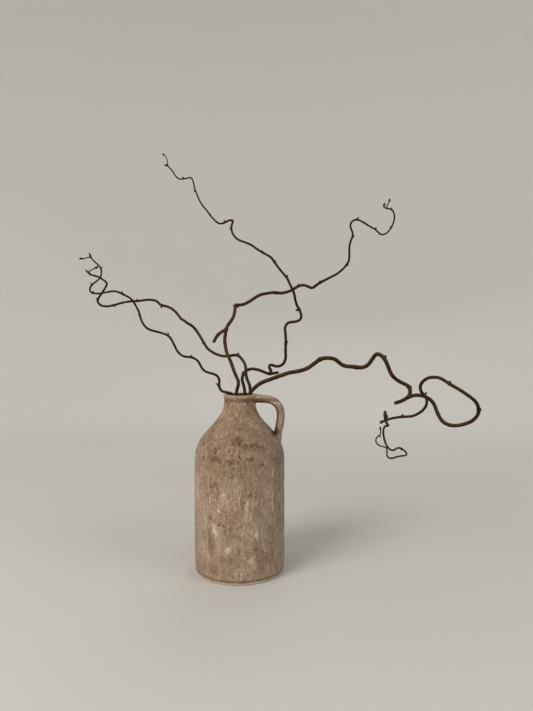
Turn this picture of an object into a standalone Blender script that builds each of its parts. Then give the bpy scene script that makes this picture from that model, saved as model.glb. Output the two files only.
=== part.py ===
"""Dried contorted hazel branches standing in a hand-thrown clay jug with one handle.

Metres, +Z up. The origin is the middle of the jug's underside, +X points to the side of the handle and +Y
away from the viewer. Five leafless branches stand in the jug without water or soil. Each branch, with its
shoots, cut stubs and buds, grew as one piece, so each is one solid, and the jug was fired in one piece with
its handle.

The wood bends too freely for straight runs and arcs, so its routes are lists of points chosen by hand, in
millimetres, on the upright plane through the jug's axis as an eye at EYE sees them. from_view() moves each
point along its line of sight to where the wood really is, in front of that plane or behind it.
"""

import bmesh
import bpy
import numpy as np

MM = 0.001

# The eye that the routes are seen from: right of the axis, in front of it and above the table, in mm.
EYE = (47.6, -945.0, 378.0)

# The jug's driving dimensions, in mm. Its rim is a full round, from the neck's outside to its bore.
JUG_HEIGHT = 310.0
BODY_RADIUS = 79.7
NECK_RADIUS = 28.8
NECK_BORE = 22.5
WALL = 6.0
FLOOR = 8.0
TURN_STEPS = 48
RIM_PARTS = 3
CORNER_PARTS = 3
HOLLOW_ABOVE_RIM = 1.0

# Outer shoulder, from the neck's foot down to the body: radius and height.
SHOULDER = [
    (28.8, 289), (30.9, 280.5), (36, 270), (44.4, 260), (53.4, 250), (63, 240),
    (70.2, 230), (75, 220), (78.2, 209), (79.4, 198),
]

# Outer foot, from the body down to the face that the jug stands on: radius and height.
FOOT = [(79.7, 34), (79.3, 20), (78.5, 10), (77.7, 4.8), (76.8, 2.2), (75.6, 0.6), (74, 0)]

# The handle's middle line, from inside the neck's wall to inside the shoulder: x and z.
HANDLE_ROUTE = [
    (24.5, 302.3), (35, 301.4), (43, 300.8), (51, 299.2), (58, 296.6), (64.5, 292.2), (69.5, 286.2),
    (72.6, 279), (73.3, 271.5), (72.6, 263), (71.2, 254.5), (69.6, 247), (68, 240.5), (67.3, 234),
    (67.2, 227), (65.4, 219),
]
HANDLE_THICK = 14.0
HANDLE_WIDTH = 20.0

# Tubes: their sides, and how a tube of few sides is widened so that it looks as thick as a round one. The
# wood winds in depth from CURL_STARTS along the leader on, fully from CURL_FULL on. SHARP_ANGLE is in
# radians, WELD in metres.
TWIG_SIDES_LEVEL = 1
HANDLE_SIDES_LEVEL = 4
FACET_GAIN = 1.05
LONGEST_STEP = 34.0
SHARP_ANGLE = 0.6
WELD = 0.00001
CURL_STARTS = 70.0
CURL_FULL = 150.0

# A bud's or knob's shape: how thick it is, as a share of its given thickness, at shares of its length.
BUD_SHARES = np.array([0.0, 0.35, 0.7, 1.0])
BUD_WIDTHS = np.array([0.8, 1.0, 0.8, 0.25])

# Routes. A point is (across, up) or (across, up, behind, thick): where the last two are given, the wood
# lies that far behind the jug's axis and is that thick; between such points both change evenly along the
# wood. In a shoot, behind counts from the wood that it grows from. A stem's points are real ones:
# (x, y, z, thick). A bud is (foot across, foot up, tip across, tip up, thick). Curl is (reach, pitch,
# start): how far the wood winds to and fro in depth, the length of one turn, and where in it it starts.

LOW_LEFT = {
    "stem": [
        (-50, -12, 8.9, 4.9), (-35, -11, 110, 4.9), (-17, -9.5, 220, 4.8), (-9, -9, 280, 4.8),
        (-9.5, -8.5, 303, 4.7),
    ],
    "curl": (6, 84, 0.2),
    "leader": [
        (-14, 309.8, -6, 4.7), (-20.8, 312), (-25.6, 312.9, 0, 4.7), (-29.5, 313.6), (-33, 315.5),
        (-35.6, 319.5), (-37, 325), (-36.5, 331), (-37.5, 337), (-41, 342), (-47, 345), (-55, 347.3),
        (-62, 350), (-67, 355), (-71, 362), (-75, 368.5), (-81, 372.7), (-87, 375), (-94, 375.6),
        (-101, 377, -20, 4.2), (-107, 381), (-112, 387), (-116, 395), (-120, 403), (-124.5, 410),
        (-129, 414), (-136, 417), (-144, 419.5), (-152, 421.5), (-160, 424), (-167, 428),
        (-172, 434, -36, 4), (-175.5, 441), (-178, 449), (-180, 456), (-184, 464), (-188, 471),
        (-192, 477), (-198, 482), (-205, 485.5), (-212, 489), (-219, 491.8), (-226, 492.5), (-234, 491.5),
        (-241, 490), (-248, 488.8), (-256, 488.5, -44, 3.4), (-262, 489.4), (-266, 491.6), (-267.2, 497),
        (-264, 503.5), (-258, 508.5), (-252, 513.5), (-248.2, 518), (-247, 524), (-247, 530),
        (-248.5, 535), (-253, 539.8), (-259, 545.5), (-264, 551, -42, 2.7), (-267, 555.5, -41, 3),
        (-268.3, 559, -41, 2.3), (-268.7, 561.5, -41, 0.7),
    ],
    "shoots": [
        [
            (-264.5, 551.6, 0, 2), (-270, 553.2, 1, 2), (-275, 551.4), (-279, 550.6, 2, 2.2),
            (-281.5, 550.4, 2, 3.2), (-284.5, 550.6, 2, 2.5), (-286.8, 551, 2, 0.8),
        ],
    ],
    "buds": [
        (-37, 323, -43, 329.2, 2.7), (-86, 374.5, -87.4, 379, 3.4), (-126, 411, -128.6, 421, 2.2),
        (-178, 449, -182.4, 451.4, 2.2), (-208, 487, -211, 493.6, 2.5), (-262, 489.5, -260.6, 493.6, 2.5),
        (-264, 504, -267, 508.5, 2.2), (-248, 532, -244.6, 536.5, 2.2),
    ],
}

LEFT = {
    "stem": [
        (0, -50, 9.1, 6.2), (7, -24, 130, 6), (14.5, -3, 260, 5.8), (17, 2.6, 296, 5.7),
    ],
    "curl": (7, 96, 0.6),
    "leader": [
        (18, 306, 4, 5.6), (18.3, 314), (18, 322), (15.7, 329.5), (12.6, 337), (11.2, 343.5),
        (10.7, 350.5, 10, 5.5), (10.2, 358), (8.4, 364), (4.8, 369.8), (0.6, 375), (-3.5, 378.2),
        (-8.5, 378.8), (-15, 378), (-22, 377, 45, 5.2), (-29.6, 377), (-36, 378.4), (-42.4, 380.7),
        (-48, 383.5), (-52.5, 386.4), (-57, 390), (-60.7, 395, 62, 5), (-64.4, 401), (-68, 407.4),
        (-71.7, 413.8), (-75.3, 419.3), (-79, 424.3), (-83.5, 429.4), (-88, 432.8), (-93.6, 435.8),
        (-98.9, 440), (-104.4, 443.5), (-109, 449, 78, 4.8), (-113.5, 455), (-118, 459), (-123.6, 462.8),
        (-130, 465.5), (-136.4, 467), (-141, 468.3), (-144.8, 472), (-149.2, 475.2), (-154.7, 476.7),
        (-161, 477.4, 88, 4.3), (-167.5, 477), (-174.8, 476), (-182, 475.3), (-190, 474.7), (-198.8, 474),
        (-206, 472.8), (-215.3, 470.5), (-224.4, 467.8), (-231.7, 466.2), (-237.2, 465.7, 86, 3.7),
        (-243.6, 466.2), (-249.1, 468.5), (-252.7, 472.8), (-253.4, 477.2), (-251.9, 480.8),
        (-249.2, 484.8), (-246, 489.5), (-242.8, 494), (-239.6, 499.1), (-237.6, 503.7), (-237.5, 507.2),
        (-239.8, 510.2), (-243.7, 513), (-248.3, 516.2), (-252.8, 518.5), (-258.3, 520.1),
        (-263.8, 521.5, 74, 3.2), (-268.4, 523), (-271.6, 525.6, 70, 2.8), (-273.8, 528.6, 70, 3),
        (-276, 531.5, 70, 0.7),
    ],
    "shoots": [
        [
            (-270.6, 524.6, 0, 2.1), (-268.8, 527.6, -1, 2.1), (-263.8, 530.8), (-259.4, 533.2, -3, 2.2),
            (-257, 534.4, -3, 3.5), (-254, 535.8, -3, 2.8), (-251.8, 536.8, -3, 0.8),
        ],
    ],
    "buds": [
        (-4, 377, -2.6, 383, 4), (-138, 467.5, -140.8, 462.6, 3.4), (-252.8, 477.5, -257.2, 480.4, 2.7),
        (-63, 399, -68.5, 400.5, 2.7), (-182, 475.5, -184, 479.5, 2.5), (-224, 468, -222.6, 463.8, 2.2),
    ],
}

UPPER_RIGHT = {
    "stem": [
        (6, 50, 8.9, 6.8), (4, 36, 110, 6.6), (-3, 20.5, 225, 6.5), (-6.5, 9.2, 288, 6.4),
    ],
    "curl": (8, 104, 0.45),
    "leader": [
        (-6.8, 303.5, 7, 6.3), (-6.2, 310.5), (-5.3, 316), (-3.9, 321.3), (-2.6, 326.8), (-2.6, 331.5),
        (-4.8, 337.2), (-7.6, 343.2), (-10.3, 350.5), (-13, 357.8), (-15.8, 366), (-19, 373.4, 20, 6.2),
        (-22.2, 380.7), (-24.5, 388), (-26, 396.2), (-26.8, 403.6), (-26.4, 411), (-25.5, 418.3),
        (-24.3, 424.5, 58, 6.2), (-22.6, 429.3), (-20, 433.8), (-16.4, 438.8), (-13.2, 443.4),
        (-10.9, 448.4), (-9.5, 453.9), (-8.6, 459.4), (-7.8, 464.4), (-6, 467.6, 96, 5.8), (-2.2, 468),
        (3, 468.4), (9.2, 470.2), (15.6, 473.5), (22, 477.5), (27.5, 481.3), (33, 484.5), (39.4, 487),
        (45.8, 488.2), (52.2, 489.3), (57.7, 490.2, 126, 5.6), (64, 490), (70.5, 489.4), (77, 489.6),
        (82, 490.6), (87.4, 492.4), (93.4, 495), (98.9, 498.5), (105, 502), (111, 503.4), (117.4, 502.8),
        (122.8, 500.5), (127.4, 498.9, 138, 5.2), (131.4, 499.7), (135.6, 502.6), (140.2, 506),
        (144.6, 509), (149.6, 511.4), (155.7, 514.4), (163, 518.4), (170.4, 522), (176.8, 526.3),
        (182.3, 530.7), (187.2, 536, 112, 3.9), (191.4, 541.2), (194.1, 546.7), (195.2, 552.6),
        (195.3, 560), (195.3, 567.3), (195.6, 572.7), (196.6, 578.2), (198.6, 583.7), (200.5, 588.8),
        (201.4, 593.5, 90, 3.6), (200.8, 598), (199, 602.6), (197.3, 607.2), (197.4, 611.8),
        (199.7, 616.3), (203.8, 619.3), (209, 620.2), (215.4, 618), (221.8, 614.5, 72, 3.4),
        (228.2, 610.4), (234.6, 606.7), (241.4, 602.9), (246.3, 598.2), (250.2, 595), (254.3, 593.6),
        (258.4, 594.4), (263, 597.6, 60, 2.9), (267.5, 602.4), (270.7, 607.2), (273, 612.7),
        (274.9, 618.2), (275.8, 623.7), (275.5, 629.1), (274, 633.9), (271, 637.8),
        (266.7, 639.5, 46, 2.5), (262.6, 640.2), (259.2, 641.2), (257, 643, 44, 2.3),
        (256.9, 645.4, 44, 3.3), (257.6, 648, 44, 2.8), (258.4, 650.4, 44, 0.7),
    ],
    "shoots": [
        [
            (-23.8, 424.4, 0, 5.8), (-30, 421.6, 3, 5.8), (-34.8, 418.3), (-39.2, 414.4, 4, 5.8),
            (-42.9, 409.1), (-45.8, 403.6, 2, 5.7), (-47, 401.2, 2, 5.7),
        ],
        [
            (262.4, 640.2, 0, 2), (262.2, 643.6, 1, 2.1), (264.2, 648), (265.6, 651, 2, 2.1),
            (266.4, 653.2, 2, 3.2), (267.4, 655.8, 2, 2.6), (268.1, 657.8, 2, 0.7),
        ],
    ],
    "buds": [
        (-24, 425.5, -20.2, 425.2, 4.9), (-37.5, 415.5, -40.4, 417.6, 3.6), (-7.2, 466.5, -12.2, 467, 4),
        (-6.4, 466.5, -2.4, 463.6, 3.8), (143, 508, 142.4, 511.6, 3.6), (189.5, 539.5, 194.6, 538.6, 2.7),
        (200.2, 589.5, 205.6, 591.2, 2.5), (208, 620, 212.6, 625.4, 2.5), (241, 603, 243.6, 606.2, 3.1),
        (270.3, 606.5, 267.4, 608.6, 2.7), (270.6, 638, 271.4, 643.2, 2.2), (105, 502, 103.4, 506.4, 2.5),
        (64, 490, 66, 486, 2.5),
    ],
}

TALL = {
    "stem": [
        (-45, 10, 8.9, 6.4), (-28, 10, 110, 6.3), (-4, 10.5, 220, 6.1), (8.2, 11, 286, 6),
    ],
    "curl": (8, 110, 0.1),
    "leader": [
        (9.2, 304, 12, 5.9), (8.9, 311), (8.4, 317.6), (7, 324), (5.2, 330.4), (4.4, 336), (5.2, 341.4),
        (7.5, 346.3), (10.9, 350.2, 20, 5.7), (15.3, 352.8), (20.8, 354), (27.2, 353.7), (33.6, 352.3),
        (40, 350), (45.5, 347.8), (51, 346), (55, 347.4, 15, 5.3), (55.4, 351.6), (52.9, 356), (53, 360),
        (56.4, 361.2, 12, 5.2), (61, 359.8), (66, 358.8), (71.2, 359.4), (76, 362), (79.4, 366.4),
        (81.4, 371.9), (81.8, 378, 8, 5.2), (81.6, 384.6), (81.7, 392.3), (82, 400), (82, 407.6),
        (81.5, 415.4), (80.7, 422), (80.8, 428), (82.8, 432.8), (86, 435.9), (90.2, 437.4),
        (95.3, 438, -10, 5), (100.7, 438.8), (105.2, 440.6), (108.4, 443.4), (109.6, 447.8), (108.8, 453),
        (106.7, 458.4), (103.9, 463.9), (101.2, 469.4), (99.3, 475.8), (98, 482.2, -8, 4.7), (96.6, 489),
        (94.3, 495), (91.6, 500.5), (88.9, 506), (86.6, 511.4), (83.8, 516.6), (80.6, 520.6), (77, 524.7),
        (73.3, 529.3, -2, 4.4), (69.2, 534.3), (65.1, 539.8), (61, 545.7), (57.6, 550.7), (54, 554),
        (50, 556.6), (45.3, 559), (39.9, 562.2, 4, 4.2), (34.4, 565.4), (28.9, 569), (23.4, 573.1),
        (17.9, 576.3), (11.5, 579), (5.3, 581.2, 14, 4), (-0.4, 583.4), (-4.9, 586), (-8.7, 589.8),
        (-11.8, 594.2), (-14, 598.9, 24, 3.8), (-15, 603.8), (-14.8, 608.8), (-13.4, 613.6), (-13, 617.2),
        (-15.2, 619.4), (-18.8, 618.8), (-23.2, 617), (-27.8, 614.7), (-32.3, 613.2),
        (-36.9, 613.5, 34, 3.4), (-41.5, 616.1), (-46, 620.4), (-50.4, 625.2), (-54, 630), (-57.6, 634.9),
        (-61.6, 639.6), (-65.2, 643.8), (-68.4, 648.3), (-71.2, 653.2, 44, 2.9), (-73.6, 658.4),
        (-76, 664.4), (-78.8, 671), (-81, 678.3), (-82.6, 685.4), (-84.4, 691.4), (-87, 694.8),
        (-91, 694.8), (-95.6, 693.8, 56, 2.6), (-100.6, 693.2), (-105.4, 692.4), (-109.6, 693.6),
        (-113.3, 696.6), (-116.4, 700.9), (-119.2, 705.4), (-122.2, 709.6), (-125.6, 713.2, 66, 2.4),
        (-128.4, 715.6, 67, 2.2), (-130.6, 716.9, 67, 3.1), (-132.8, 717.8, 67, 2.3),
        (-134.6, 718.4, 67, 0.7),
    ],
    "shoots": [
        [
            (51, 346, 0, 5.3), (55.2, 345.6, 0, 5.4), (60.1, 346.3), (66, 347.2, -1, 5.3),
            (69.3, 347.8, -1, 5.3),
        ],
        [
            (-127.4, 714.8, 0, 1.8), (-128.9, 719.4, 1, 1.8), (-129.4, 725.4), (-130.7, 730.2, 3, 1.7),
            (-133, 734, 4, 1.8), (-135.4, 736.2, 4, 2.5), (-137.6, 737.4, 4, 1.8), (-139, 738, 4, 0.6),
        ],
    ],
    "buds": [
        (105.6, 460, 99.6, 458.4, 4.5), (83, 517.5, 85.8, 521.4, 3.6), (39.6, 561.5, 38, 566, 4),
        (-14.8, 604, -19, 604.4, 2.9), (-26, 615.6, -28.6, 620, 2.7), (-53, 629, -56.2, 632.4, 3.4),
        (-78.6, 670.5, -81.8, 672.6, 3.6), (-101, 693.2, -101.6, 697.2, 2.9),
        (-14, 617.6, -10.6, 620.4, 2.9), (82, 400, 86, 403.2, 3.4), (61.5, 545, 65.6, 547.2, 2.7),
        (7.5, 346.3, 3.6, 348.4, 3.6),
    ],
}

LOOPED = {
    "stem": [
        (-31, -39, 9.1, 7.4), (-15, -28, 110, 7.2), (2, -15.5, 220, 7), (11.5, -7.6, 285, 6.9),
    ],
    "curl": (5, 120, 0.3),
    "leader": [
        (14.9, 302.7, -6, 6.8), (17.6, 309.9), (22.2, 316.2), (28, 321.8), (33.6, 326.3),
        (40, 330, -10, 7.2), (46.4, 332.7), (52.8, 335), (60.1, 337.7), (68.3, 340.5), (76.6, 343.4),
        (83.9, 346.1), (91, 347.9, -20, 7.4), (99.3, 349), (107.5, 350.8), (114.8, 352.8), (121.2, 355.6),
        (126.7, 359), (132.2, 363.2), (137.7, 367.5), (143.1, 371), (149.5, 373, -35, 7.4),
        (156.8, 373.6), (163.3, 373), (168.7, 371.6), (173.8, 368.4), (178.3, 364.4), (183.4, 361),
        (190.7, 358.8), (198, 358.1, -44, 7.3), (206.3, 357.3), (213.6, 356.7), (220.4, 357.2),
        (225.5, 359.2), (229.6, 362.8), (233.3, 367.4), (236.9, 372.4), (240.1, 377.1),
        (243.4, 380, -50, 7.3), (247.6, 380.2), (251.8, 378.4), (255.2, 375.6), (258.4, 371.6),
        (261.2, 366), (263.4, 360.5), (265.7, 355, -54, 7.1), (268, 349.1), (271.2, 342.9),
        (275.8, 338.1), (281.3, 334), (287.7, 330), (294.1, 327), (299.2, 324), (302.4, 320),
        (303.6, 315.5, -60, 6.9), (303.6, 311.2), (301.8, 306.8), (297.4, 302.2),
        (291.3, 298.4, -62, 6.8), (284.9, 295.7), (279.8, 294.1), (276.2, 293, -62, 6.6),
    ],
    "shoots": [
        [
            (299.6, 303.4, 0, 6.4), (304.6, 305.2, -1, 6.6), (310.4, 306.6), (317, 307.2, -4, 6.6),
            (323.4, 306.5), (330, 304.7, -6, 6.6), (336.6, 301.5), (342.5, 296.5), (346.8, 289.8),
            (350, 282.3, -18, 6.8), (352.8, 275), (356, 268), (360.4, 261.6), (366.2, 256.9),
            (373.5, 254, -40, 6.9), (381.8, 253), (390, 253.5), (398.2, 255.1), (405.6, 257.4, -56, 6.6),
            (412.8, 260.6), (419, 265.2), (423.6, 270.9), (425.9, 277.4), (425.6, 284.4, -70, 6.5),
            (423.2, 291.2), (418.8, 297.4), (412.4, 303), (405.4, 308, -74, 6.3), (398, 313), (390, 318),
            (381.8, 322.8), (374, 327.4, -66, 6.2), (367.4, 331.8), (361.2, 335.6), (354.8, 338.2),
            (347.8, 339.3), (340.6, 339, -46, 6.1), (333.8, 336.9), (328, 333.1), (323.8, 328),
            (321.8, 322.1, -26, 5.8), (322.4, 316.3), (325.2, 311), (329, 306.9, -20, 5.5), (332, 302.4),
            (333.3, 296.6, -20, 5.3), (332.6, 290.2), (329.8, 284.4), (325.2, 279.2),
            (319, 274.8, -22, 5), (312.6, 271.7), (305.8, 269.6), (298.4, 268.9, -26, 4.8),
            (290.6, 268.8), (283, 268), (275, 266.6), (266.8, 264.6, -32, 4.4), (260.6, 262.7),
            (256.4, 261.1, -34, 4), (253.8, 259.9, -34, 4.6), (250.8, 258.4, -34, 3.2),
            (249, 257.4, -34, 0.8),
        ],
        [
            (259.4, 262.2, 0, 3.6), (259, 266.2, 2, 4), (258.9, 270, 2, 5.2), (259, 274, 2, 4.8),
            (259.2, 277.8, 2, 2.8), (259.3, 280.4, 2, 0.7),
        ],
        [
            (259.8, 262.4, 0, 3.6), (261.8, 257.4, -3, 3.6), (264.4, 254, -5, 3.6),
            (263.4, 252.4, -8, 3.4), (260.4, 252.2, -9, 3), (257.8, 250.4, -10, 3), (256.4, 246.8),
            (255.8, 242), (256.2, 237.2), (257, 231.6, -14, 2.9), (258.4, 226), (260.4, 220.4),
            (262.9, 215.6), (266.4, 211.6), (269.8, 209.2), (273.3, 208.7, -20, 2.8), (276.7, 210.2),
            (279.6, 212.4), (283, 213.4), (286.6, 212.8), (290.4, 210.8), (294.2, 207.8), (297.2, 204.2),
            (297.6, 201.2, -27, 2.7), (294.6, 199.6), (290.6, 199.2), (286.4, 198.8), (280.8, 197.4),
            (275.2, 195.6), (270.4, 194.6), (266.2, 195.2, -31, 2.6), (263.2, 197.6), (262, 201.2),
            (262.4, 205.4), (262.4, 210, -26, 2.5), (261, 213.6), (257.8, 215), (254.2, 215.9),
            (250.3, 216.8), (246.6, 218.8, -20, 2.4), (243.8, 221.8), (242.5, 225.4), (242.8, 229.2),
            (244.9, 232.6, -16, 2.3), (248, 234.9), (250.4, 237, -13, 2.3), (251.1, 240.4),
            (251.1, 244.2, -12, 2.3), (250.8, 246.8, -12, 3), (250.4, 249.6, -12, 2.5),
            (250, 251.8, -12, 0.7),
        ],
    ],
    "buds": [
        (257, 374, 261.6, 377.6, 4.7), (301.5, 321, 306, 323.8, 5.2), (373.5, 327.5, 374.6, 333, 4.9),
        (425.5, 281, 431, 282.4, 4.5), (289.5, 268.5, 289.8, 273.6, 3.6), (260.5, 263, 264.4, 272.8, 3.1),
        (264, 254, 267.2, 254.4, 3.4), (287, 212, 288.2, 208, 2), (248.6, 235.4, 251.6, 231.4, 2),
        (143, 371, 139.6, 374.4, 4.3), (206, 357.4, 208, 352.8, 4), (329, 306.9, 333.6, 312.6, 3.6),
    ],
}

# Node name, its routes and its bark's colour.
BRANCHES = [
    ("branch_low_left", LOW_LEFT, (0.105, 0.066, 0.038)),
    ("branch_left", LEFT, (0.085, 0.052, 0.030)),
    ("branch_upper_right", UPPER_RIGHT, (0.115, 0.072, 0.041)),
    ("branch_tall", TALL, (0.095, 0.058, 0.033)),
    ("branch_looped", LOOPED, (0.125, 0.080, 0.047)),
]
BARK_ROUGHNESS = 0.6
CLAY_COLOUR = (0.36, 0.26, 0.165)
CLAY_ROUGHNESS = 0.9


def clear_scene():
    for item in list(bpy.data.objects):
        bpy.data.objects.remove(item, do_unlink=True)


def new_collection(name):
    collection = bpy.data.collections.new(name)
    bpy.context.scene.collection.children.link(collection)
    return collection


def principled(name, colour, roughness):
    material = bpy.data.materials.new(name)
    material.use_nodes = True
    shader = material.node_tree.nodes["Principled BSDF"]
    shader.inputs["Base Color"].default_value = (*colour, 1.0)
    shader.inputs["Roughness"].default_value = roughness
    shader.inputs["Metallic"].default_value = 0.0
    return material


def from_view(points):
    """Real places, in mm, of rows (across, up, behind, thick) as the eye sees them on the axis's plane."""
    across, up, behind, thick = points.T
    spread = 1 + behind / -EYE[1]
    return np.column_stack([
        EYE[0] + (across - EYE[0]) * spread,
        behind,
        EYE[2] + (up - EYE[2]) * spread,
        thick * spread,
    ])


def full_route(waypoints, curl=None, start_behind=0.0):
    """Rows (across, up, behind, thick) for every waypoint."""
    flat = np.array([point[:2] for point in waypoints], float)
    run = np.concatenate([[0.0], np.cumsum(np.linalg.norm(np.diff(flat, axis=0), axis=1))])
    given = [i for i, point in enumerate(waypoints) if len(point) == 4]
    behind = start_behind + np.interp(run, run[given], [waypoints[i][2] for i in given])
    thick = np.interp(run, run[given], [waypoints[i][3] for i in given])
    if curl:
        reach, pitch, start = curl
        fade = np.clip((run - CURL_STARTS) / (CURL_FULL - CURL_STARTS), 0, 1)
        turn = 2 * np.pi * (run / pitch + start)
        behind = behind + reach * fade * (np.sin(turn) + 0.4 * np.sin(1.7 * turn + 1))
    return np.column_stack([flat, behind, thick])


def smooth_route(points):
    """Rows (x, y, z, thick) on a smooth curve through the points, with extra rows on long stretches."""
    steps = np.linalg.norm(np.diff(points[:, :3], axis=0), axis=1)[:, None]
    slopes = np.diff(points, axis=0) / steps
    middle = (slopes[:-1] * steps[1:] + slopes[1:] * steps[:-1]) / (steps[:-1] + steps[1:])
    tangents = np.vstack([slopes[:1], middle, slopes[-1:]])
    rows = []
    for i, step in enumerate(steps[:, 0]):
        parts = int(np.ceil(step / LONGEST_STEP))
        for t in np.arange(parts) / parts:
            rows.append(
                (2 * t**3 - 3 * t**2 + 1) * points[i]
                + (t**3 - 2 * t**2 + t) * step * tangents[i]
                + (3 * t**2 - 2 * t**3) * points[i + 1]
                + (t**3 - t**2) * step * tangents[i + 1]
            )
    rows.append(points[-1])
    return np.array(rows)


def tube_mesh(name, rows, sides_level):
    """A closed mesh along rows (x, y, z, thick) in mm: a bevelled curve whose caps are welded on."""
    curve = bpy.data.curves.new(name, "CURVE")
    curve.dimensions = "3D"
    curve.bevel_depth = MM / 2
    curve.bevel_resolution = sides_level
    curve.use_fill_caps = True
    curve.render_resolution_u = 0
    spline = curve.splines.new("POLY")
    spline.points.add(len(rows) - 1)
    for point, (x, y, z, thick) in zip(spline.points, rows):
        point.co = (x * MM, y * MM, z * MM, 1.0)
        point.radius = thick
    drawn = bpy.data.objects.new(name, curve)
    bpy.context.scene.collection.objects.link(drawn)
    mesh = bpy.data.meshes.new_from_object(drawn.evaluated_get(bpy.context.evaluated_depsgraph_get()))
    bpy.data.objects.remove(drawn, do_unlink=True)
    bpy.data.curves.remove(curve)
    shell = bmesh.new()
    shell.from_mesh(mesh)
    bmesh.ops.remove_doubles(shell, verts=shell.verts, dist=WELD)
    bmesh.ops.recalc_face_normals(shell, faces=shell.faces)
    shell.to_mesh(mesh)
    shell.free()
    return mesh


def nearest_behind(routes, across, up):
    """How far behind the axis the wood nearest to a place in the view lies."""
    rows = np.vstack(routes)
    nearest = np.argmin(np.hypot(rows[:, 0] - across, rows[:, 1] - up))
    return rows[nearest, 2]


def bud_route(routes, foot_across, foot_up, tip_across, tip_up, thick):
    """A bud or knob: rooted in the wood's middle, fattest halfway, drawn to a blunt tip."""
    behind = nearest_behind(routes, foot_across, foot_up)
    return np.column_stack([
        foot_across + (tip_across - foot_across) * BUD_SHARES,
        foot_up + (tip_up - foot_up) * BUD_SHARES,
        np.full(len(BUD_SHARES), behind),
        thick * BUD_WIDTHS,
    ])


def wood_tubes(routes):
    """The routes of the tubes that one branch is joined from, as real places; the leader comes first."""
    leader = full_route(routes["leader"], routes["curl"])
    grown = [leader]
    for shoot in routes["shoots"]:
        start = nearest_behind(grown, *shoot[0][:2])
        grown.append(full_route(shoot, start_behind=start))
    tubes = [np.vstack([np.array(routes["stem"], float), from_view(leader)])]
    tubes += [from_view(route) for route in grown[1:]]
    tubes += [from_view(bud_route(grown, *bud)) for bud in routes["buds"]]
    return tubes


def add_branch(name, routes, colour, collection):
    """One branch: its stem and leader, joined with its shoots, stubs and buds by one Boolean union."""
    joined = new_collection(name + "_joined")
    pieces = []
    for rows in wood_tubes(routes):
        rows = smooth_route(rows)
        rows[:, 3] *= FACET_GAIN
        piece = bpy.data.objects.new(name + "_wood", tube_mesh(name, rows, TWIG_SIDES_LEVEL))
        (joined if pieces else collection).objects.link(piece)
        pieces.append(piece)
    union = pieces[0].modifiers.new("joined", "BOOLEAN")
    union.operation = "UNION"
    union.solver = "EXACT"
    union.operand_type = "COLLECTION"
    union.collection = joined
    evaluated = pieces[0].evaluated_get(bpy.context.evaluated_depsgraph_get())
    mesh = bpy.data.meshes.new_from_object(evaluated)
    for piece in pieces:
        bpy.data.objects.remove(piece, do_unlink=True)
    bpy.data.collections.remove(joined)
    mesh.name = name
    mesh.shade_smooth()
    mesh.set_sharp_from_angle(angle=SHARP_ANGLE)
    branch = bpy.data.objects.new(name, mesh)
    collection.objects.link(branch)
    mesh.materials.clear()
    mesh.materials.append(principled(name + "_bark", colour, BARK_ROUGHNESS))


def arc(centre, radius, start, end, parts):
    """Points (radius, height) on an arc about centre, with both ends."""
    angles = np.radians(np.linspace(start, end, parts + 1))
    return [(centre[0] + radius * np.cos(a), centre[1] + radius * np.sin(a)) for a in angles]


def shoulder_points(inset):
    """The shoulder's curve moved squarely inwards by inset, top to bottom."""
    points = np.array(SHOULDER, float)
    along = np.gradient(points, axis=0)
    along /= np.linalg.norm(along, axis=1)[:, None]
    inward = np.column_stack([along[:, 1], -along[:, 0]])
    return [tuple(point) for point in points + inward * inset]


def turned(name, profile, collection, hidden=False):
    """A solid turned about Z from a profile of (radius, height) in mm, outer side first, top to bottom."""
    mesh = bpy.data.meshes.new(name)
    edges = [(i, i + 1) for i in range(len(profile) - 1)]
    mesh.from_pydata([(radius * MM, 0.0, height * MM) for radius, height in profile], edges, [])
    solid = bpy.data.objects.new(name, mesh)
    collection.objects.link(solid)
    screw = solid.modifiers.new("turned", "SCREW")
    screw.axis = "Z"
    screw.steps = TURN_STEPS
    screw.render_steps = TURN_STEPS
    screw.use_merge_vertices = True
    screw.merge_threshold = WELD
    screw.use_smooth_shade = True
    if hidden:
        hide(solid)
    return solid


def hide(guide):
    guide.hide_render = True
    guide.display_type = "WIRE"


def boolean(target, other, operation):
    cut = target.modifiers.new(operation.lower(), "BOOLEAN")
    cut.operation = operation
    cut.solver = "EXACT"
    cut.object = other


def add_handle(guides):
    """A bowed strap, oval across: a round tube along the route, widened in Y."""
    rows = [(x, 0.0, z, HANDLE_THICK) for x, z in HANDLE_ROUTE]
    handle = bpy.data.objects.new("handle", tube_mesh("handle", rows, HANDLE_SIDES_LEVEL))
    guides.objects.link(handle)
    for vertex in handle.data.vertices:
        vertex.co.y *= HANDLE_WIDTH / HANDLE_THICK
    hide(handle)
    return handle


def add_jug(collection, guides):
    """The turned jug with its handle on, hollowed through the neck; its rim is a full round."""
    lip = (NECK_RADIUS - NECK_BORE) / 2
    lip_centre = (NECK_BORE + lip, JUG_HEIGHT - lip)
    outside = [(0.0, JUG_HEIGHT), *arc(lip_centre, lip, 90, 0, RIM_PARTS), *SHOULDER, *FOOT, (0.0, 0.0)]
    above = JUG_HEIGHT + HOLLOW_ABOVE_RIM
    inside = [(0.0, above), (lip_centre[0], above)]
    inside += arc(lip_centre, lip, 90, 180, RIM_PARTS)
    inside += shoulder_points(WALL)
    inside += arc((BODY_RADIUS - WALL - FLOOR, 2 * FLOOR), FLOOR, 0, -90, CORNER_PARTS)
    inside.append((0.0, FLOOR))

    jug = turned("jug", outside, collection)
    hollow = turned("hollow", inside, guides, hidden=True)
    boolean(jug, add_handle(guides), "UNION")
    boolean(jug, hollow, "DIFFERENCE")
    jug.data.materials.append(principled("fired_clay", CLAY_COLOUR, CLAY_ROUGHNESS))


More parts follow.
